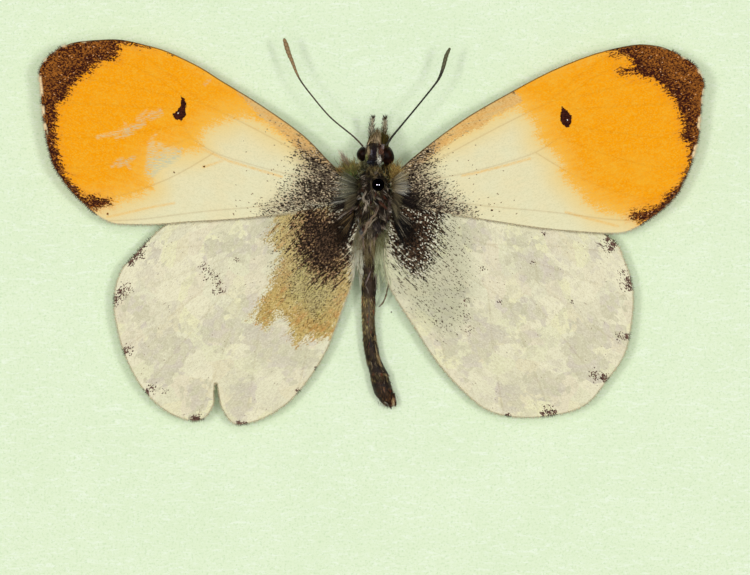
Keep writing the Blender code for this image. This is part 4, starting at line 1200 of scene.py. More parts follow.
# Tufts in plan: count, root x, y, spread x, y, aim x, y, z, scatter, length, radius,
# and the hair's root and tip colours
TUFTS = [
    # collar and neck: dull gold curls over black
    (300, 0.0, 7.95, 0.48, 0.14, 0.5, 0.2, 0.5, 0.7, 0.34, 0.02, (60, 48, 22), (168, 146, 92)),
    (300, 0.0, 8.02, 0.5, 0.16, -0.6, 0.1, 0.5, 0.7, 0.34, 0.02, (12, 9, 7), (44, 34, 22)),
    (90, 0.85, 8.15, 0.16, 0.1, 0.2, 0.4, 0.4, 0.4, 0.3, 0.018, (84, 68, 28), (180, 156, 92)),
    (90, -1.0, 8.05, 0.16, 0.12, -0.2, 0.4, 0.4, 0.4, 0.34, 0.018, (40, 40, 16), (120, 118, 62)),
    # crown: purple-black oval with a grey streak that is a painted highlight, blue-black behind it
    (240, -0.06, 9.02, 0.11, 0.25, 0.0, -0.1, 0.9, 0.3, 0.22, 0.018, (20, 14, 20), (58, 46, 56)),
    (26, -0.23, 9.08, 0.03, 0.1, 0.0, -0.5, 0.8, 0.2, 0.22, 0.018,
     (110, 106, 116), (160, 156, 166)),
    (160, -0.22, 8.32, 0.13, 0.13, 0.0, -0.5, 0.6, 0.4, 0.24, 0.018, (16, 16, 16), (48, 48, 54)),
    (34, -0.42, 8.44, 0.1, 0.03, 0.9, 0.1, 0.3, 0.2, 0.22, 0.018, (100, 104, 118), (176, 180, 192)),
    # white wedge against the right eye
    (140, 0.28, 8.44, 0.08, 0.12, -0.15, 0.8, 0.4, 0.2, 0.26, 0.018,
     (214, 212, 190), (255, 255, 248)),
    (60, 0.17, 8.86, 0.025, 0.18, 0.0, 0.9, 0.35, 0.15, 0.22, 0.018,
     (140, 126, 96), (232, 224, 196)),
    # cream and olive scales against both eyes
    (300, -0.78, 8.22, 0.16, 0.12, -0.05, 0.8, 0.5, 0.25, 0.36, 0.02,
     (116, 108, 66), (216, 206, 156)),
    (260, 0.8, 8.14, 0.18, 0.1, 0.1, 0.8, 0.5, 0.3, 0.34, 0.02, (44, 32, 16), (120, 92, 50)),
    (90, -0.56, 8.62, 0.04, 0.1, 0.1, 0.9, 0.35, 0.2, 0.26, 0.018, (104, 108, 58), (178, 176, 116)),
    (110, -0.46, 8.98, 0.045, 0.17, 0.2, 0.9, 0.3, 0.12, 0.26, 0.018,
     (110, 88, 58), (206, 184, 142)),
    (110, 0.38, 9.1, 0.09, 0.22, 0.25, 0.8, 0.3, 0.25, 0.22, 0.018, (60, 36, 28), (146, 104, 82)),
    (40, -0.72, 9.42, 0.1, 0.03, 0.0, 0.4, 0.8, 0.3, 0.18, 0.018, (160, 160, 130), (236, 234, 208)),
    # pale strokes between the right eye and its antenna
    (30, 0.5, 9.4, 0.05, 0.09, 0.3, 0.7, 0.6, 0.15, 0.24, 0.018, (150, 130, 126), (234, 214, 206)),
    (40, 0.62, 9.62, 0.06, 0.05, 0.5, 0.6, 0.4, 0.3, 0.26, 0.018, (120, 96, 74), (226, 206, 176)),
    # brown tuft beside the right palp, and loose olive hairs beyond it
    (60, 0.74, 9.98, 0.06, 0.1, 0.15, 0.9, 0.2, 0.25, 0.34, 0.018, (44, 20, 8), (104, 60, 30)),
    (14, 0.78, 9.95, 0.06, 0.06, 0.45, 0.9, 0.1, 0.12, 0.75, 0.013,
     (100, 104, 60), (150, 156, 104)),
    # shoulders: green-gold on the left, golden on the right
    (620, -1.62, 7.74, 0.3, 0.2, -0.25, 0.9, 0.35, 0.33, 0.74, 0.02, (70, 62, 24), (160, 146, 84)),
    (200, -1.5, 7.7, 0.14, 0.18, -0.5, 0.6, 0.5, 0.35, 0.55, 0.02, (56, 78, 28), (122, 150, 86)),
    (40, -1.95, 8.3, 0.16, 0.16, -0.3, 0.9, 0.3, 0.3, 0.6, 0.018, (120, 88, 50), (214, 184, 140)),
    (36, -1.78, 8.3, 0.03, 0.05, -0.55, 0.85, 0.3, 0.05, 1.25, 0.014,
     (150, 118, 84), (246, 226, 196)),
    (30, -2.04, 8.25, 0.03, 0.05, -0.34, 0.92, 0.3, 0.05, 1.15, 0.014,
     (150, 118, 84), (246, 226, 196)),
    (160, -2.1, 7.8, 0.2, 0.12, -0.5, 0.5, 0.4, 0.35, 0.42, 0.018, (116, 80, 34), (192, 150, 88)),
    (160, -1.55, 7.6, 0.3, 0.22, -0.6, 0.3, 0.6, 0.35, 0.44, 0.02, (14, 12, 8), (50, 42, 26)),
    (420, 1.2, 7.62, 0.24, 0.22, 0.35, 0.8, 0.4, 0.36, 0.66, 0.02, (104, 76, 28), (204, 170, 98)),
    (420, 1.42, 7.32, 0.22, 0.18, 0.85, 0.35, 0.45, 0.3, 0.62, 0.019,
     (124, 96, 40), (222, 192, 122)),
    (260, 1.25, 7.5, 0.28, 0.24, 0.6, 0.5, 0.6, 0.4, 0.46, 0.02, (26, 18, 10), (80, 60, 32)),
    # cream hairs of the claspers
    (50, 1.22, -7.6, 0.04, 0.08, 0.1, -1.0, 0.1, 0.12, 0.36, 0.016,
     (170, 132, 84), (240, 214, 164)),
    (50, 0.95, -7.75, 0.12, 0.1, 0.3, -1.0, 0.1, 0.25, 0.34, 0.014, (34, 20, 12), (74, 50, 32)),
    (7, 0.66, -7.74, 0.03, 0.03, 0.75, -0.65, 0.2, 0.05, 0.5, 0.013,
     (170, 160, 136), (240, 234, 214)),
]
# Fans of long hair: bundles, hairs in each, root x, y, half spread along x, y, first and last
# bearing in degrees (90 points ahead), length, rise, radius, lift, and root and tip colours
FANS = [
    # cream fan over the right wing, whitest behind
    (19, 10, 1.18, 6.95, -0.05, -0.28, 44, -14, 1.25, 0.1, 0.015, 0.24,
     (130, 108, 62), (250, 240, 204)),
    (9, 8, 1.2, 6.7, 0.0, -0.2, 14, -20, 1.4, 0.06, 0.015, 0.28, (160, 138, 92), (255, 255, 244)),
    # grey-green fan over the left wing
    (19, 9, -1.2, 6.75, -0.02, -0.45, 144, 200, 1.55, 0.06, 0.015, 0.2,
     (62, 58, 34), (182, 180, 144)),
    (11, 4, -1.25, 6.5, -0.02, -0.4, 156, 200, 2.0, 0.04, 0.012, 0.26,
     (120, 112, 84), (240, 240, 220)),
    (12, 14, -1.25, 5.95, -0.02, -0.3, 195, 226, 1.05, 0.05, 0.018, 0.2,
     (84, 72, 50), (146, 132, 98)),
    (2, 5, -1.8, 5.88, 0.0, -0.05, 184, 188, 1.6, 0.0, 0.014, 0.1,
     (180, 172, 150), (250, 246, 232)),
    # long pale hairs over the left shoulder
    (3, 7, -1.7, 8.08, -0.04, -0.03, 112, 128, 1.15, 0.12, 0.016, 0.2,
     (130, 104, 66), (228, 210, 176)),
    # dull tufts behind the fans
    (12, 12, 1.18, 6.1, 0.0, -0.3, -30, -62, 1.0, 0.04, 0.018, 0.18, (84, 70, 48), (156, 142, 106)),
    (8, 10, 1.15, 5.6, 0.0, -0.25, -52, -74, 1.25, 0.03, 0.016, 0.16,
     (90, 78, 54), (170, 158, 122)),
    (3, 4, -1.7, 5.2, -0.1, -0.1, 212, 222, 1.1, 0.0, 0.014, 0.12,
     (150, 128, 108), (236, 222, 206)),
    # black hair over the roots of the forewings
    (16, 9, 1.45, 6.05, 0.15, -0.35, -4, -24, 2.3, -0.1, 0.016, 0.05, (18, 12, 10), (56, 42, 34)),
    (16, 9, -1.45, 5.9, -0.15, -0.3, 184, 206, 2.2, -0.1, 0.016, 0.05, (18, 12, 10), (64, 48, 36)),
    # black hair over the roots of the hindwings, with a few pale ones
    (20, 10, 1.25, 4.85, 0.1, -0.5, -34, -70, 2.6, -0.12, 0.016, 0.05, (12, 10, 10), (46, 38, 32)),
    (20, 10, -1.4, 4.85, -0.1, -0.5, 212, 250, 2.6, -0.12, 0.016, 0.05, (18, 12, 8), (70, 50, 30)),
    (9, 3, 1.35, 4.9, 0.1, -0.5, -36, -66, 1.6, -0.08, 0.014, 0.1, (110, 96, 76), (214, 200, 170)),
    (9, 3, -1.45, 4.95, -0.1, -0.5, 206, 244, 1.6, -0.08, 0.014, 0.1,
     (110, 86, 52), (206, 172, 116)),
]
# Locks that show on the back: plan points, width, hairs, lift, and root and tip colours
LOCKS = [
    ([(-0.58, 6.42), (-0.71, 6.19), (-0.77, 5.95), (-0.6, 5.72), (-0.62, 5.44), (-0.74, 5.12)],
     0.05, 70, 0.2, (150, 136, 116), (224, 210, 186)),
    ([(0.15, 4.95), (-0.08, 4.76), (-0.3, 4.44), (-0.46, 4.3), (-0.58, 3.97), (-0.71, 3.65),
      (-0.9, 3.42)], 0.07, 110, 0.22, (122, 102, 82), (204, 180, 150)),
    ([(0.15, 4.73), (-0.14, 4.41), (-0.3, 4.2)], 0.03, 26, 0.24, (150, 136, 110), (206, 192, 166)),
    ([(-1.22, 4.4), (-1.02, 4.05), (-0.94, 3.9)], 0.04, 26, 0.12, (80, 84, 90), (150, 154, 160)),
    ([(-1.08, 3.85), (-0.9, 3.5)], 0.04, 20, 0.12, (84, 84, 84), (168, 166, 160)),
    ([(-0.42, 4.25), (-0.32, 3.7), (-0.28, 3.3)], 0.16, 90, 0.14, (80, 70, 56), (134, 120, 98)),
    ([(0.05, 4.4), (0.15, 3.9), (0.1, 3.4)], 0.26, 130, 0.1, (46, 38, 38), (88, 76, 74)),
    ([(0.22, 5.8), (0.42, 5.6), (0.62, 5.4)], 0.07, 34, 0.12, (60, 34, 24), (128, 78, 58)),
    ([(-0.28, 7.2), (-0.22, 6.6), (-0.1, 6.15)], 0.05, 34, 0.18, (70, 60, 44), (140, 124, 96)),
    ([(0.95, 5.9), (0.98, 5.2), (0.85, 4.6)], 0.1, 60, 0.1, (74, 58, 54), (130, 108, 102)),
    ([(-1.3, 6.2), (-1.45, 5.6), (-1.6, 5.2)], 0.08, 50, 0.16, (84, 66, 70), (142, 118, 120)),
    ([(-0.9, 6.35), (-0.8, 6.1)], 0.05, 18, 0.16, (100, 106, 96), (160, 166, 150)),
    ([(0.28, 7.62), (0.05, 7.45), (-0.12, 7.6)], 0.05, 30, 0.2, (76, 62, 38), (150, 130, 88)),
    ([(-0.62, 7.75), (-0.42, 7.92), (-0.3, 7.7)], 0.05, 30, 0.16, (84, 72, 44), (160, 142, 98)),
    ([(0.55, 7.95), (0.4, 7.75), (0.6, 7.6)], 0.05, 30, 0.16, (90, 74, 42), (164, 142, 94)),
    # along the abdomen: pale strokes on its back, tan down on its right
    ([(-0.3, 1.1), (-0.42, 0.75), (-0.56, 0.4)], 0.04, 26, 0.06, (120, 104, 100), (182, 162, 152)),
    ([(-0.12, 1.1), (0.02, 0.7), (0.08, 0.1)], 0.05, 40, 0.02, (110, 98, 84), (176, 162, 144)),
    ([(-0.6, 0.1), (-0.5, -0.15)], 0.03, 12, 0.05, (110, 100, 90), (164, 152, 140)),
    ([(-0.45, -1.0), (-0.42, -1.7), (-0.42, -2.4)], 0.05, 40, 0.05, (86, 72, 62), (150, 136, 122)),
    ([(0.02, -3.2), (0.07, -3.85), (0.16, -4.4), (0.28, -4.9), (0.52, -5.4), (0.74, -5.8)], 0.09,
     170, 0.0, (150, 124, 84), (230, 204, 152)),
    ([(-0.72, 0.2), (-0.78, -0.8), (-0.76, -1.8)], 0.04, 60, -0.1, (88, 74, 46), (140, 122, 84)),
]


def tuft_arrays(rng, row):
    """Hairs that stand out of one spot, each its own way."""
    (count, x, y, spread_x, spread_y, aim_x, aim_y, aim_z, scatter, length, radius, root,
     tip) = row
    px = x + rng.normal(size=count) * spread_x
    py = y + rng.normal(size=count) * spread_y
    tail = back_of_abdomen(np.column_stack([px, py])) + 0.12
    roots = np.column_stack([px, py, np.where(py < -5.0, tail, coat_top(px, py)) - 0.03])
    aims = np.array([aim_x, aim_y, aim_z]) + jitter(rng, count, scatter)
    lengths = length * (0.4 + 0.75 * rng.random(count))
    bends = np.array([0.0, 0.0, -0.15]) + jitter(rng, count, 0.10)
    light = np.exp(rng.normal(size=(count, 1)) * 0.45)
    return (roots, aims, lengths, bends, np.full(count, radius), np.array(tone(*root)) * light,
            np.minimum(np.array(tone(*tip)) * light, 1.0))


def fan_arrays(rng, row):
    """Hair in flat bundles that spread like the ribs of a fan."""
    (bundles, each, x, y, half_x, half_y, first, last, length, rise, radius, lift, root,
     tip) = row
    share = (np.arange(bundles) + 0.5 + rng.normal(size=bundles) * 0.12) / bundles
    bearing = np.radians(first + (last - first) * share + rng.normal(size=bundles) * 2.0)
    shade = np.where(np.arange(bundles) % 2, 0.30, 1.0) * (0.75 + 0.4 * rng.random(bundles))
    reach = length * (0.8 + 0.3 * rng.random(bundles))
    share, bearing, shade, reach = (np.repeat(v, each) for v in (share, bearing, shade, reach))
    count = bundles * each
    bearing = bearing + rng.normal(size=count) * 0.018
    px = x + (2 * share - 1) * half_x + rng.normal(size=count) * 0.05
    py = y + (2 * share - 1) * half_y + rng.normal(size=count) * 0.04
    roots = np.column_stack([px, py, coat_top(px, py) + lift + rng.normal(size=count) * 0.04])
    aims = np.column_stack([np.cos(bearing), np.sin(bearing), np.full(count, rise)])
    bends = np.array([0.0, -0.02, -0.03]) + jitter(rng, count, 0.035)
    lengths = reach * (0.65 + 0.4 * rng.random(count))
    tints = [shades(rng, count, shown, shown, 0.12) * shade[:, None] for shown in (root, tip)]
    return (roots, aims, lengths, bends, np.full(count, radius), *tints)


def lock_arrays(rng, row):
    """Short hairs laid end to end along a line over the back."""
    points, width, count, lift, root, tip = row
    line = curve_through(points, 8)
    low = (rng.random(count) * (len(line) - 1)).astype(int)
    ahead = line[low + 1] - line[low]
    ahead /= np.hypot(*ahead.T)[:, None]
    across = np.column_stack([-ahead[:, 1], ahead[:, 0]])
    plan = line[low] + across * (rng.random((count, 1)) - 0.5) * width * 2
    back = back_of_abdomen(plan)
    height = np.where(plan[:, 1] < 3.3, back, np.maximum(coat_top(*plan.T), back))
    roots = np.column_stack([plan, height + lift + rng.normal(size=count) * 0.02])
    aims = np.column_stack([ahead, np.full(count, 0.02)]) + jitter(rng, count, 0.07)
    return (roots, aims, 0.34 * (0.7 + 0.6 * rng.random(count)), jitter(rng, count, 0.04),
            np.full(count, 0.016), shades(rng, count, root, root), shades(rng, count, tip, tip))


def back_of_abdomen(plan):
    """Height of the abdomen's skin above the paper, and its middle height beside it."""
    line = curve_through(ABDOMEN, 6)[::-1]
    x, z, half = (np.interp(plan[:, 1], line[:, 1], line[:, k]) for k in (0, 2, 3))
    inside = 1 - ((plan[:, 0] - x) / half) ** 2
    return z + half * np.sqrt(np.maximum(inside, 0))


def stacked(groups):
    return [np.concatenate(parts) for parts in zip(*groups)]


# Locks of the coats: how common each is, and its root and tip colours
PELTS = {
    "thorax": [(0.40, (10, 7, 6), (36, 28, 20)), (0.22, (34, 26, 18), (90, 72, 48)),
               (0.13, (60, 56, 28), (140, 130, 84)), (0.14, (90, 80, 66), (178, 162, 140)),
               (0.05, (64, 32, 22), (130, 74, 52)), (0.06, (140, 126, 110), (232, 216, 190))],
    "abdomen": [(0.28, (24, 17, 12), (60, 46, 32)), (0.36, (52, 42, 27), (108, 92, 62)),
                (0.24, (84, 74, 48), (144, 128, 88)), (0.06, (84, 40, 26), (140, 80, 56)),
                (0.06, (120, 106, 86), (196, 180, 156))],
    "waist": [(0.32, (20, 15, 10), (52, 40, 26)), (0.28, (62, 52, 30), (126, 108, 70)),
              (0.26, (108, 96, 60), (182, 166, 118)), (0.14, (150, 124, 108), (222, 200, 176))],
}


def pelt(rng, roots, kind, size):
    """Each hair's lock, of that size in mm, and its root and tip colours."""
    places = np.floor(roots / size + 0.4 * np.sin(roots[:, [1, 2, 0]] * 2.3 / size))
    lock = np.unique(places, axis=0, return_inverse=True)[1].ravel()
    rows = PELTS[kind]
    pick = rng.choice(len(rows), size=lock.max() + 1, p=[row[0] for row in rows])
    light = np.exp(rng.normal(size=lock.max() + 1) * 0.3)[lock]
    light = light * np.exp(rng.normal(size=len(roots)) * 0.25)
    base, tips = (np.array([tone(*row[k]) for row in rows])[pick][lock] * light[:, None]
                  for k in (1, 2))
    return lock, base, np.minimum(tips, 1.0)


def thorax_coat(rng, settings):
    """Dense hair lying back over the thorax in locks of many shades."""
    count = settings.thorax_hairs
    roots, normals = ellipsoid_roots(rng, count, THORAX_CENTRE, THORAX_HALF)
    lock, base, tips = pelt(rng, roots, "thorax", 0.17)
    lean = jitter(rng, lock.max() + 1, 0.42)
    aims = normals * 0.4 + (0.0, -0.75, 0.05) + lean[lock] + jitter(rng, count, 0.12)
    lengths = 0.38 * (0.6 + 0.6 * rng.random(count))
    bends = np.array([0.0, -0.10, -0.12]) + jitter(rng, count, 0.08)
    return roots, aims, lengths, bends, settings.hair_radius / MM, base, tips


def face_brush(rng):
    """Tan hairs that meet in a point between the palps, olive ones on their right."""
    count, olive = 700, 480
    total = count + olive
    px = np.concatenate([rng.uniform(-0.50, 0.40, count),
                         rng.uniform(0.40, 0.86, olive * 2 // 3),
                         rng.uniform(-0.58, -0.30, olive // 3)])
    py = 9.76 - 0.9 * (px + 0.06) ** 2 + rng.normal(size=total) * 0.10
    roots = np.column_stack([px, py, 3.15 + rng.normal(size=total) * 0.10])
    splay = np.where(px > 0.40, 1.0, 0.04) * (px - 0.15)
    aims = np.array(BRUSH_POINT) + np.column_stack([splay, px * 0, px * 0]) - roots
    reach = np.linalg.norm(aims, axis=1)
    aims = aims + jitter(rng, total, 0.10)
    stripe = np.where(rng.random(60) < 0.3, 0.3, 1.0)[((px + 0.6) * 40).astype(int) % 60, None]
    root = stripe * np.vstack([shades(rng, count, (150, 124, 88), (236, 212, 172), 0.4),
                               shades(rng, olive, (44, 36, 8), (84, 74, 20), 0.4)])
    tip = stripe * np.vstack([shades(rng, count, (104, 88, 44), (186, 160, 112), 0.4),
                              shades(rng, olive, (84, 66, 20), (130, 114, 44), 0.4)])
    lengths = (reach * rng.uniform(0.35, 1.04, total)
               * (1 - np.where(px > 0.40, 0.3, 0.75) * np.abs(px - 0.17)))
    light = np.exp(rng.normal(size=(total, 1)) * 0.5 - 0.1)
    return (roots, aims, lengths, jitter(rng, total, 0.03), 0.015, root * light,
            np.minimum(tip * light, 1.0))


def waist_hair(rng):
    """Long hair from the back of the thorax over the front of the abdomen."""
    count = 1500
    y = 4.5 - rng.random(count) * 2.3
    x = WAIST_X + rng.uniform(-1, 1, count) * (0.50 + 0.28 * np.maximum(y - 2.9, 0.0))
    roots = np.column_stack([x, y, back_of_abdomen(np.column_stack([x, y]))])
    _, base, tips = pelt(rng, roots * (1.0, 0.15, 0.0), "waist", 0.07)
    aims = (np.column_stack([-(x - WAIST_X) * 0.42, np.full(count, -1.0),
                             np.full(count, -0.18)]) + jitter(rng, count, 0.08))
    lengths = 0.9 * (0.5 + 0.7 * rng.random(count))
    bends = np.array([0.0, 0.0, -0.08]) + jitter(rng, count, 0.05)
    return roots, aims, lengths, bends, 0.019, base, tips


def abdomen_down(rng):
    """Short sparse hair lying along the abdomen, purplish in one place and redder behind, with
    painted shade on the hairs that face down.
    """
    count = 4200
    line = curve_through(ABDOMEN, 6)
    pick = rng.random(count) * (len(line) - 1.001)
    low = pick.astype(int)
    share = (pick - low)[:, None]
    centre = line[low] * (1 - share) + line[low + 1] * share
    turn = rng.random(count) * 2 * math.pi
    normal = np.column_stack([np.cos(turn), np.zeros(count), np.sin(turn)])
    roots = centre[:, :3] + normal * centre[:, 3:] * SKIN_SHARE
    _, base, tips = pelt(rng, roots * (1.0, 0.6, 1.0), "abdomen", 0.11)
    x, y = roots[:, 0], roots[:, 1]
    across = normal[:, 0] * np.where(y > -3.0, 1.0, -0.4)
    # painted shade: hairs that face down are darker
    shade = 2.4 - 0.9 * across - 0.55 * np.clip(-normal[:, 2], 0, 1)
    shade = shade * np.interp(y, (-4.0, -3.2, -2.6, -1.2, -0.6), (0.5, 0.75, 1.2, 1.3, 1.0))
    purple = (np.abs(x + 0.22) / 0.30 + np.abs(y - 0.2) / 0.85 < 1)[:, None]
    shade = shade[:, None] * np.where(purple, (0.42, 0.34, 0.48), (1.0, 1.0, 1.0))
    shade = shade * np.where(y[:, None] < -6.3, (0.95, 0.6, 0.52), (1.0, 0.97, 0.84))
    ahead = unit(line[low + 1, :3] - line[low, :3])
    aims = ahead + normal * 0.22 + jitter(rng, count, 0.14)
    lengths = 0.26 * (0.5 + 0.8 * rng.random(count))
    return (roots, aims, lengths, jitter(rng, count, 0.06), 0.015, base * shade,
            np.minimum(tips * shade, 1.0))


def tail_bristles(rng):
    """A few stiff hairs that stand out behind the claspers."""
    count = 60
    roots = np.column_stack([middle + rng.normal(size=count) * spread
                             for middle, spread in ((0.85, 0.25), (-7.6, 0.15), (0.78, 0.15))])
    aims = np.array([0.15, -1.0, 0.0]) + jitter(rng, count, 0.22)
    tint = shades(rng, count, (52, 36, 24), (112, 84, 52), 0.3)
    return (roots, aims, 0.42 * (0.5 + rng.random(count)), jitter(rng, count, 0.1), 0.012, tint,
            tint * 1.4)


def palp_bristles(rng, side):
    """Long stiff hairs along a palp, pale and dark in strokes, its tip dark."""
    count = 420
    line = curve_through(PALP[side], 5)
    pick = rng.random(count) * (len(line) - 1.001)
    centre = line[pick.astype(int)]
    strand = rng.integers(0, PALP_STRANDS, count)
    turn = strand * 2 * math.pi / PALP_STRANDS + rng.normal(size=count) * 0.12
    normal = np.column_stack([np.cos(turn), np.zeros(count), np.sin(turn)])
    roots = centre[:, :3] + normal * centre[:, 3:] * 0.65
    aims = normal * 0.55 + np.array([0.0, 1.0, 0.12]) + jitter(rng, count, 0.08)
    share = (pick / len(line))[:, None]
    pale = shades(rng, count, (206, 192, 150), (252, 246, 220), 0.12)
    dark = shades(rng, count, (40, 30, 14), (84, 66, 40), 0.2)
    dark_strand = ((strand % 4) == 0)[:, None] | (share > 0.84) | (rng.random((count, 1)) < 0.15)
    chosen = np.where(dark_strand, dark, pale)
    lengths = 0.44 * (0.5 + 0.7 * rng.random(count)) * (1 - 0.45 * share[:, 0])
    return (roots, aims, lengths, jitter(rng, count, 0.05), 0.020, chosen * 0.7, chosen)


# Down beside the waist: hairs, length, the outer edge's y and x, and the usual and odd shades; the
# usual shades are pale partly for the down itself and partly as painted light for light coming
# through the wings
WAIST_GAP = {
    "left": (800, 4.2, (0.45, 2.0, 3.2, 4.4), (-1.65, -1.5, -1.5, -1.05),
             ((226, 224, 192), (254, 252, 236), 0.10), ((110, 90, 56), (200, 172, 118), 0.2)),
    "right": (1050, 4.4, (-0.15, 1.2, 2.6, 4.4), (1.25, 0.86, 0.72, 0.95),
              ((212, 220, 172), (246, 248, 216), 0.12), ((88, 96, 42), (156, 164, 92), 0.2)),
}


def gap_down(rng, side):
    """Down that fills the gap between the waist and the hindwing's inner margin, pale partly as
    painted light for the light that comes through the wings, and darker towards the thorax.
    """
    count, reach, heights, edges, usual, odd = WAIST_GAP[side]
    sign = MIRROR[side]
    lock = rng.integers(0, GAP_LOCKS, count)
    y = WAIST_Y - rng.random(count) * rng.uniform(0.55, 1.0, GAP_LOCKS)[lock] * reach
    inner = WAIST_X + sign * 0.40
    outer = np.interp(y, heights, edges)
    x = inner + (outer - inner) * (lock + 0.5 + rng.normal(size=count) * 0.35) / GAP_LOCKS
    plan = np.column_stack([x, y])
    lift = rng.normal(size=count) * 0.05
    roots = np.column_stack([plan, wing_height(plan, side, HINDWING_DROP) + lift])
    aims = np.array([sign * 0.10, -1.0, 0.0]) + jitter(rng, count, 0.16)
    aims[:, 0] += rng.normal(size=GAP_LOCKS)[lock] * 0.14
    # pale tints, partly painted light for the light that comes through the wings
    tint, other = shades(rng, count, *usual), shades(rng, count, *odd)
    tint = np.where(rng.random((count, 1)) < 0.16, other, tint)
    tint = tint * np.interp(y, (2.0, 3.2), (1.0, 0.36))[:, None] ** (0.9, 1.0, 1.3)
    lengths = 0.6 * (0.4 + 1.0 * rng.random(count))
    return roots, aims, lengths, jitter(rng, count, 0.08), 0.014, tint * 0.9, tint


def fringe_arrays(rng, ring, side, drop, forewing):
    """Cilia round a wing's outer margin, dark along the wing tip."""
    closed, normals = (np.vstack([rows, rows[:1]]) for rows in (ring, outward(ring)))
    along = travelled(closed)
    places = np.arange(0.0, along[-1], FRINGE_STEP)
    places = places + (rng.random(len(places)) - 0.5) * FRINGE_STEP
    places = np.clip(places, 0.0, along[-1])
    spots, out = sampled(closed, along, places), sampled(normals, along, places)
    keep = np.hypot(*(spots - WING_ROOT[side]).T) > FRINGE_START
    if forewing:
        keep &= line_distance(spots, [curve_through(COSTA[side], 4)]) > FRINGE_OFF_COSTA
    spots, out = spots[keep], out[keep]
    count = len(spots)
    height = wing_height(spots, side, drop) + cockle(spots)
    roots = np.column_stack([spots - out * 0.10, height])
    aims = np.column_stack([out, np.full(count, -0.05)]) + jitter(rng, count, 0.18)
    tint = shades(rng, count, (222, 206, 164), (240, 228, 194), 0.12)
    if forewing:
        tip = zone_depth(spots, APEX_ZONE[side]) > -0.25
        pale = dot_strength(spots, PALE_FRINGE[side]) > 0.02
        orange = (zone_depth(spots, ORANGE_ZONE[side]) > 0) & ~tip
        parts = ((pale, (244, 216, 168), (252, 236, 200), 0.1),
                 (tip & ~pale, (52, 30, 20), (132, 92, 56), 0.3),
                 (orange, (222, 170, 78), (232, 206, 140), 0.1))
    else:
        marked = dot_strength(spots, HINDWING_MARKS[side]) > 0.15
        parts = ((marked, (84, 68, 56), (150, 136, 110), 0.3),)
    for where, *shown in parts:
        tint[where] = shades(rng, int(where.sum()), *shown)
    lengths = 0.28 * (0.5 + 0.7 * rng.random(count))
    return roots, aims, lengths, jitter(rng, count, 0.06), 0.020, tint * 0.95, tint


# ---------------------------------------------------------------- solid pieces
def ball(name, centre, half, segments, rings):
    deselect_all()
    bpy.ops.mesh.primitive_uv_sphere_add(segments=segments, ring_count=rings, radius=1.0,
                                         location=at(centre))
    piece = bpy.context.object
    piece.name = name
    piece.scale = Vector(half) * MM
    bpy.ops.object.transform_apply(location=True, rotation=True, scale=True)
    bpy.ops.object.shade_smooth()
    return piece


def wrinkle(piece, size, strength):
    """Push the skin in and out by a cloud pattern, both sizes in mm."""
    texture = bpy.data.textures.new(piece.name + "_wrinkle", "CLOUDS")
    texture.noise_scale = size * MM
    push = piece.modifiers.new("Wrinkle", "DISPLACE")
    push.texture = texture
    push.texture_coords = "LOCAL"
    push.strength = strength * MM
    push.mid_level = 0.5
    choose(piece)
    bpy.ops.object.modifier_apply(modifier=push.name)


def swept(name, stations, sides=12):
    """A round tube through (x, y, z, radius) stations, made a closed mesh."""
    deselect_all()
    path = bpy.data.curves.new(name, "CURVE")
    path.dimensions = "3D"
    path.bevel_depth = MM
    path.bevel_resolution = max(sides // 4 - 1, 1)
    path.use_fill_caps = True
    spline = path.splines.new("POLY")
    spline.points.add(len(stations) - 1)
    for point, (x, y, z, radius) in zip(spline.points, stations):
        point.co = (*at((x, y, z)), 1.0)
        point.radius = radius
    piece = bpy.data.objects.new(name, path)
    bpy.context.scene.collection.objects.link(piece)
    choose(piece)
    bpy.ops.object.convert(target="MESH")
    piece = bpy.context.object
    bpy.ops.object.mode_set(mode="EDIT")
    bpy.ops.mesh.select_all(action="SELECT")
    bpy.ops.mesh.remove_doubles(threshold=0.0005 * MM)
    bpy.ops.mesh.normals_make_consistent(inside=False)
    bpy.ops.object.mode_set(mode="OBJECT")
    bpy.ops.object.shade_smooth_by_angle(angle=math.radians(60.0))
    return piece


def mark_along(piece, line, spacing, club_from):
    """Store the number of joints passed, and how far into the club a point is."""
    points = np.zeros(len(piece.data.vertices) * 3)
    piece.data.vertices.foreach_get("co", points)
    points = points.reshape(-1, 3) / MM - (0, 0, PAPER_TOP)
    gaps = np.linalg.norm(points[:, None, :] - line[None, :, :3], axis=2)
    along = travelled(line[:, :3])[np.argmin(gaps, axis=1)]
    store(piece.data, "along", along / spacing)
    store(piece.data, "club", np.clip((along - club_from) / CLUB_CHANGE, 0, 1))


def limb(name, line, spacing, finish, slot, *nodes, sides=12, club_from=FAR):
    """A jointed limb through (x, y, z, radius) stations, with its finish."""
    piece = swept(name, line, sides)
    mark_along(piece, line, spacing, club_from)
    settle(piece, name, finish, slot, *nodes)


def jointed(stations, spacing, swelling, steps=8):
    """Stations along a limb, thickened at the end of each joint."""
    line = curve_through(stations, steps)
    along = travelled(line[:, :3])
    places = np.linspace(0, along[-1], int(along[-1] / spacing * 4))
    fine = sampled(line, along, places)
    phase = (places / spacing) % 1.0
    fine[:, 3] *= 1.0 + swelling * (np.sin(math.pi * phase) ** 2 - 0.5)
    return fine


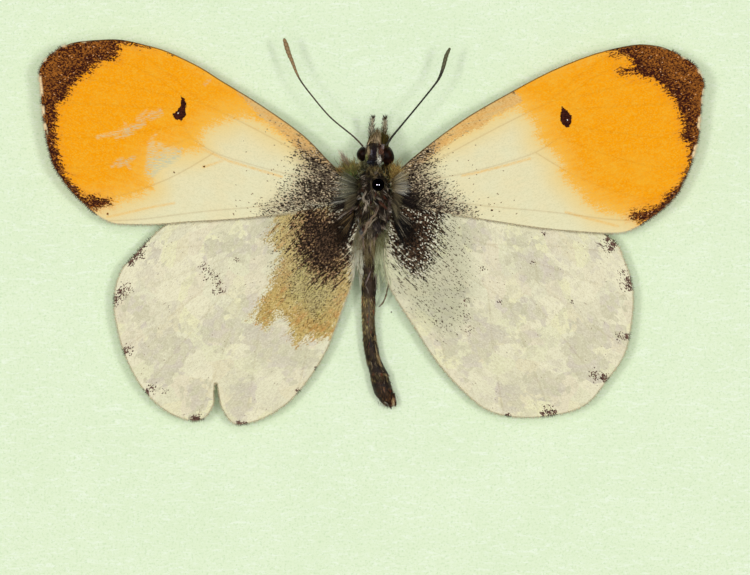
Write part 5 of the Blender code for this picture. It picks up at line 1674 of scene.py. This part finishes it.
# ---------------------------------------------------------------- operators
class SPECIMEN_OT_stage(bpy.types.Operator):
    """Set up the camera, the floor and the soft light"""
    bl_idname = "specimen.stage"
    bl_label = "Stage"

    def execute(self, context):
        stage = context.scene.specimen_stage
        deselect_all()
        bpy.ops.mesh.primitive_plane_add(size=FLOOR_SIZE, location=(0.0, 0.0, 0.0))
        floor = bpy.context.object
        floor.name = "floor"
        recipe = Recipe("floor", Roughness=0.9, Specular_IOR_Level=0.1)
        floor.data.materials.append(recipe.paint(stage.floor))

        distance = stage.view_width * stage.lens * MM / (SENSOR_WIDTH * MM)
        camera_data = bpy.data.cameras.new("camera")
        camera_data.lens = stage.lens
        camera_data.sensor_width = SENSOR_WIDTH
        camera_data.clip_start, camera_data.clip_end = 0.01, 20.0
        camera = bpy.data.objects.new("camera", camera_data)
        camera.location = (0.0, 0.0, (PAPER_TOP + WING_PLANE) * MM + distance)
        context.scene.collection.objects.link(camera)
        context.scene.camera = camera

        key = self.disc(context, "overhead", (0.0, 0.0, KEY_HEIGHT), KEY_HALF_ANGLE,
                        stage.key_share)
        key.visible_glossy = False
        for side, mirror in MIRROR.items():
            place = (mirror * LAMP_DISTANCE * math.sin(LAMP_SLANT), 0.0,
                     LAMP_DISTANCE * math.cos(LAMP_SLANT))
            self.disc(context, "lamp_" + side, place, LAMP_HALF_ANGLE, stage.lamp_share / 2)
        world = bpy.data.worlds.new("studio")
        world.use_nodes = True
        background = world.node_tree.nodes["Background"]
        background.inputs["Color"].default_value = (1.0, 1.0, 1.0, 1.0)
        background.inputs["Strength"].default_value = stage.fill_share
        world.cycles_visibility.glossy = False
        context.scene.world = world
        context.scene.view_settings.view_transform = "Standard"
        return {"FINISHED"}

    def disc(self, context, name, place, half_angle, share):
        """A round light facing the slab, which gives that share of a white's full light."""
        gap = Vector(place) - Vector((0.0, 0.0, PAPER_TOP * MM))
        radius = gap.length * math.tan(half_angle)
        facing = gap.z / gap.length
        radiance = share / (math.sin(half_angle) ** 2 * facing)
        data = bpy.data.lights.new(name, "AREA")
        data.shape = "DISK"
        data.size = 2 * radius
        data.energy = radiance * math.pi * math.pi * radius ** 2
        light = bpy.data.objects.new(name, data)
        light.location = place
        light.rotation_euler = gap.to_track_quat("Z", "Y").to_euler()
        light.visible_camera = False
        context.scene.collection.objects.link(light)
        return light


class SPECIMEN_OT_slab(bpy.types.Operator):
    """Give the foam slab and its lining paper their finishes"""
    bl_idname = "specimen.slab"
    bl_label = "Foam and paper"

    def execute(self, context):
        slab = context.scene.specimen_slab
        for node, finish in (("foam_slab", foam_finish), ("lining_paper", paper_finish)):
            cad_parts[node].material_slots[0].material = finish(slab)
        return {"FINISHED"}


class SPECIMEN_OT_pin(bpy.types.Operator):
    """Make the steel pin and its round black head"""
    bl_idname = "specimen.pin"
    bl_label = "Pin"

    def execute(self, context):
        pin = context.scene.specimen_pin
        straight = PIN_LENGTH - PIN_POINT
        deselect_all()
        middle = at((PIN_X, PIN_Y, PIN_ABOVE_PAPER - straight / 2))
        bpy.ops.mesh.primitive_cylinder_add(vertices=32, radius=PIN_RADIUS * MM,
                                            depth=straight * MM, location=middle)
        shaft = bpy.context.object
        bpy.ops.object.transform_apply(location=True, rotation=True, scale=True)
        for polygon in shaft.data.polygons:
            polygon.select = polygon.normal.z < -0.9
        bpy.ops.object.mode_set(mode="EDIT")
        bpy.ops.mesh.select_mode(type="FACE")
        centre = at((PIN_X, PIN_Y, 0.0))
        for drop, narrowing in POINT_STEPS:
            bpy.ops.mesh.extrude_region_move(
                TRANSFORM_OT_translate={"value": (0.0, 0.0, -drop * MM)})
            bpy.ops.transform.resize(value=(narrowing, narrowing, 1.0), center_override=centre)
        bpy.ops.object.mode_set(mode="OBJECT")
        bpy.ops.object.shade_smooth_by_angle(angle=math.radians(40.0))
        settle(shaft, "pin_shaft_drawn", steel_finish(pin), "pin_steel", "pin_shaft")

        radius = pin.head_radius / MM
        head = ball("pin_head_glass", (PIN_X, PIN_Y, PIN_ABOVE_PAPER),
                    (radius, radius, radius * 0.96), 48, 32)
        store(head.data, "crown", [(vertex.co.z / MM - PAPER_TOP - PIN_ABOVE_PAPER) / radius
                                   for vertex in head.data.vertices])
        settle(head, "pin_head_glass", enamel_finish(pin), "pin_enamel", "pin_head")
        return {"FINISHED"}


class SPECIMEN_OT_wings(bpy.types.Operator):
    """Make the four scaled wings and the fringes round them"""
    bl_idname = "specimen.wings"
    bl_label = "Wings"

    def execute(self, context):
        wings = context.scene.specimen_wings
        hair = hair_finish()
        pairs = (
            ("forewing", 0.0, FOREWING_AXIS, FOREWING_VEINS, forewing_fields,
             [forewing_upper_scales(wings), forewing_lower_scales(wings)]),
            ("hindwing", HINDWING_DROP, HINDWING_AXIS, HINDWING_VEINS, hindwing_fields,
             [hindwing_upper_scales(wings), hindwing_lower_scales(wings)]),
        )
        seed = SEED["fringes"]
        for pair, drop, *layout in pairs:
            for side in SIDES:
                slot = pair + "_scales"
                ring = wing_sheet(pair + "_" + side, side, drop, *layout, slot)
                rng = np.random.default_rng(seed)
                seed += 1
                name = pair + "_fringe_" + side
                cilia = fringe_arrays(rng, ring, side, drop, pair == "forewing")
                settle(strands(name, *cilia, joints=2), name, hair, slot)
        return {"FINISHED"}


class SPECIMEN_OT_body(bpy.types.Operator):
    """Make the thorax, the abdomen with its claspers, and the head with its eyes"""
    bl_idname = "specimen.body"
    bl_label = "Body"

    def execute(self, context):
        body = context.scene.specimen_body
        shell = shell_finish(body)
        thorax = ball("thorax", THORAX_CENTRE, [half * SKIN_SHARE for half in THORAX_HALF],
                      64, 48)
        self.cover(thorax, "thorax", shell, (0.9, 0.14), (0.25, 0.05))
        abdomen = swept("abdomen", jointed(ABDOMEN, 1.35, 0.10, steps=10), sides=28)
        self.cover(abdomen, "abdomen", shell, (0.5, 0.10), (0.18, 0.04))
        horn = chitin_finish("clasper_horn", (40, 26, 16), (96, 68, 44))
        for side, stations in CLASPERS.items():
            limb("clasper_" + side, curve_through(stations, 4), 2.0, horn, "body_hair", sides=10)
        head = ball("head", HEAD_CENTRE, [half * 0.96 for half in HEAD_HALF], 40, 28)
        self.cover(head, "head", shell, (0.4, 0.08))

        facets = eye_finish(body)
        level = at((0.0, 0.0, 0.0))
        for side in SIDES:
            eye = ball("eye", (0.0, 0.0, 0.0), EYE_HALF[side], 48, 32)
            turn, centre = EYE_TURN[side], at(EYE_CENTRE[side])
            for vertex in eye.data.vertices:
                x, y, z = vertex.co - level
                vertex.co = centre + Vector((x * math.cos(turn) - y * math.sin(turn),
                                             x * math.sin(turn) + y * math.cos(turn), z))
            settle(eye, "eye_" + side + "_facets", facets, "eye", "eye_" + side)
        return {"FINISHED"}

    def cover(self, piece, node, finish, *folds):
        """Fold a piece's skin, by sizes and depths in mm, and put it in a node's place."""
        for size, depth in folds:
            wrinkle(piece, size, depth)
        settle(piece, node + "_shell", finish, "body_hair", node)


class SPECIMEN_OT_antennae(bpy.types.Operator):
    """Make the two jointed antennae with their clubs"""
    bl_idname = "specimen.antennae"
    bl_label = "Antennae"

    def execute(self, context):
        shades_of = {"left": ((44, 38, 28), (150, 122, 84)), "right": ((32, 30, 22), (92, 90, 62))}
        for side in SIDES:
            name = "antenna_" + side
            line = jointed(ANTENNA[side], ANTENNA_JOINT, 0.16)
            line[-1, 3] *= 0.4
            finish = chitin_finish(name + "_chitin", *shades_of[side])
            limb(name + "_jointed", line, ANTENNA_JOINT, finish, "antenna", name,
                 club_from=CLUB_FROM)
        return {"FINISHED"}


class SPECIMEN_OT_mouth(bpy.types.Operator):
    """Make the bristly palps and the coiled proboscis"""
    bl_idname = "specimen.mouth"
    bl_label = "Palps and proboscis"

    def execute(self, context):
        horn = chitin_finish("palp_chitin", (96, 82, 58), (206, 196, 160))
        hair = hair_finish()
        for seed, side in enumerate(SIDES, SEED["palps"]):
            line = jointed(PALP[side], 0.8, 0.10)
            line[:, 3] *= 0.62
            limb("palp_" + side + "_core", line, 0.8, horn, "leg", "palp_" + side)
            name = "palp_bristles_" + side
            bristles = palp_bristles(np.random.default_rng(seed), side)
            settle(strands(name, *bristles), name, hair, "body_hair")
        x, y, z = PROBOSCIS_CENTRE
        outer = PROBOSCIS_INNER + PROBOSCIS_TURNS * PROBOSCIS_PITCH
        share = np.linspace(0.0, 1.0, 150)
        angle = math.pi / 2 - 2 * math.pi * PROBOSCIS_TURNS * share
        radius = outer + (PROBOSCIS_INNER - outer) * share
        thick = PROBOSCIS_RADIUS * (1.15 - 0.45 * share) * (1 + 0.08 * np.sin(share * 400))
        line = np.column_stack([np.full(150, x), y + radius * np.cos(angle),
                                z + radius * np.sin(angle), thick])
        finish = chitin_finish("proboscis_chitin", (60, 40, 24), (120, 84, 48))
        limb("proboscis_coil", line, 0.12, finish, "antenna", "proboscis")
        return {"FINISHED"}


class SPECIMEN_OT_legs(bpy.types.Operator):
    """Make the six folded legs with their spines"""
    bl_idname = "specimen.legs"
    bl_label = "Legs"

    def execute(self, context):
        horn = chitin_finish("leg_chitin", (104, 86, 60), (172, 154, 116))
        hair = hair_finish()
        seed = SEED["legs"]
        for pair, pair_name in enumerate(LEG_PAIRS):
            for side, mirror in MIRROR.items():
                node = "leg_" + pair_name + "_" + side
                seen = node == "leg_hind_right"
                line = self.rounded(LEG_HIND_RIGHT if seen else self.stations(pair, mirror))
                limb(node + "_jointed", line, 0.45, horn, "leg", node)
                spines = self.spines(np.random.default_rng(seed), line)
                settle(strands(node + "_spines", *spines), node + "_spines", hair, "leg")
                seed += 1
        return {"FINISHED"}

    def stations(self, pair, mirror):
        return [(THORAX_CENTRE[0] + mirror * (x + (LEG_SPREAD * pair if index > 1 else 0.0)),
                 y - LEG_SPACING * pair, z, radius) for index, (x, y, z, radius) in enumerate(LEG)]

    def rounded(self, stations):
        """Straight joints with rounded knees, the foot in short segments."""
        line = []
        for start, end in zip(stations[:-1], stations[1:]):
            start, end = np.array(start), np.array(end)
            steps = max(int(np.linalg.norm((end - start)[:3]) / 0.12), 2)
            for t in np.linspace(0.0, 1.0, steps, endpoint=False):
                line.append(start + (end - start) * t)
        line = np.array([*line, stations[-1]])
        smooth = line.copy()
        for _ in range(2):
            smooth[1:-1] = (smooth[:-2] + 2 * smooth[1:-1] + smooth[2:]) / 4
        foot = len(line) // 4
        smooth[-foot:, 3] *= 1.0 + 0.25 * np.sin(np.arange(foot) * 1.6)
        smooth[-1, 3] *= 0.4
        return smooth

    def spines(self, rng, line):
        """Short hairs that lean along the leg, thicker towards its foot."""
        count = 220
        low = (rng.random(count) ** 0.7 * (len(line) - 2)).astype(int)
        ahead = unit(line[low + 1, :3] - line[low, :3])
        normal = rng.normal(size=(count, 3))
        normal = unit(normal - ahead * np.sum(normal * ahead, axis=1)[:, None])
        roots = line[low, :3] + normal * line[low, 3:] * 0.9
        tint = shades(rng, count, (96, 78, 54), (186, 168, 132), 0.2)
        return (roots, ahead * 0.9 + normal * 0.5, 0.16 * (0.6 + 0.8 * rng.random(count)),
                np.zeros((count, 3)), 0.009, tint * 0.8, tint)


class SPECIMEN_OT_coat(bpy.types.Operator):
    """Grow the hair of the thorax, head, abdomen and wing bases"""
    bl_idname = "specimen.coat"
    bl_label = "Hair"

    def execute(self, context):
        hair = hair_finish()
        rng = np.random.default_rng(SEED["coat"])
        coats = {
            "thorax_coat": thorax_coat(rng, context.scene.specimen_body),
            "tufts": stacked(tuft_arrays(rng, row) for row in TUFTS),
            "fans": stacked(fan_arrays(rng, row) for row in FANS),
            "back_locks": stacked(lock_arrays(rng, row) for row in LOCKS),
            "face_brush": face_brush(rng),
            "waist_hair": waist_hair(rng),
            "abdomen_down": abdomen_down(rng),
            "tail_bristles": tail_bristles(rng),
            "waist_down_left": gap_down(rng, "left"),
            "waist_down_right": gap_down(rng, "right"),
        }
        for name, arrays in coats.items():
            settle(strands(name, *arrays, joints=4), name, hair, "body_hair")
        return {"FINISHED"}


OPERATORS = (SPECIMEN_OT_stage, SPECIMEN_OT_slab, SPECIMEN_OT_pin, SPECIMEN_OT_wings,
             SPECIMEN_OT_body, SPECIMEN_OT_antennae, SPECIMEN_OT_mouth, SPECIMEN_OT_legs,
             SPECIMEN_OT_coat)
SETTINGS = {"specimen_wings": WingSettings, "specimen_body": BodySettings,
            "specimen_slab": SlabSettings, "specimen_pin": PinSettings,
            "specimen_stage": StageSettings}


class SPECIMEN_PT_panel(bpy.types.Panel):
    """Every step of the specimen, with its settings"""
    bl_idname = "SPECIMEN_PT_panel"
    bl_label = "Pinned butterfly"
    bl_space_type = "VIEW_3D"
    bl_region_type = "UI"
    bl_category = "Specimen"

    def draw(self, context):
        for operator in OPERATORS:
            self.layout.operator(operator.bl_idname)
        for attribute, group in SETTINGS.items():
            box = self.layout.box()
            box.label(text=attribute.replace("_", " ").capitalize())
            for key in group.__annotations__:
                box.prop(getattr(context.scene, attribute), key)


def register():
    for cls in (*SETTINGS.values(), *OPERATORS, SPECIMEN_PT_panel):
        bpy.utils.register_class(cls)
    for attribute, group in SETTINGS.items():
        setattr(bpy.types.Scene, attribute, PointerProperty(type=group))


def unregister():
    for attribute in SETTINGS:
        delattr(bpy.types.Scene, attribute)
    for cls in (SPECIMEN_PT_panel, *reversed(OPERATORS), *reversed(SETTINGS.values())):
        bpy.utils.unregister_class(cls)


def main():
    register()
    for operator in OPERATORS:
        group, name = operator.bl_idname.split(".")
        getattr(getattr(bpy.ops, group), name)()


if __name__ == "__main__":
    main()
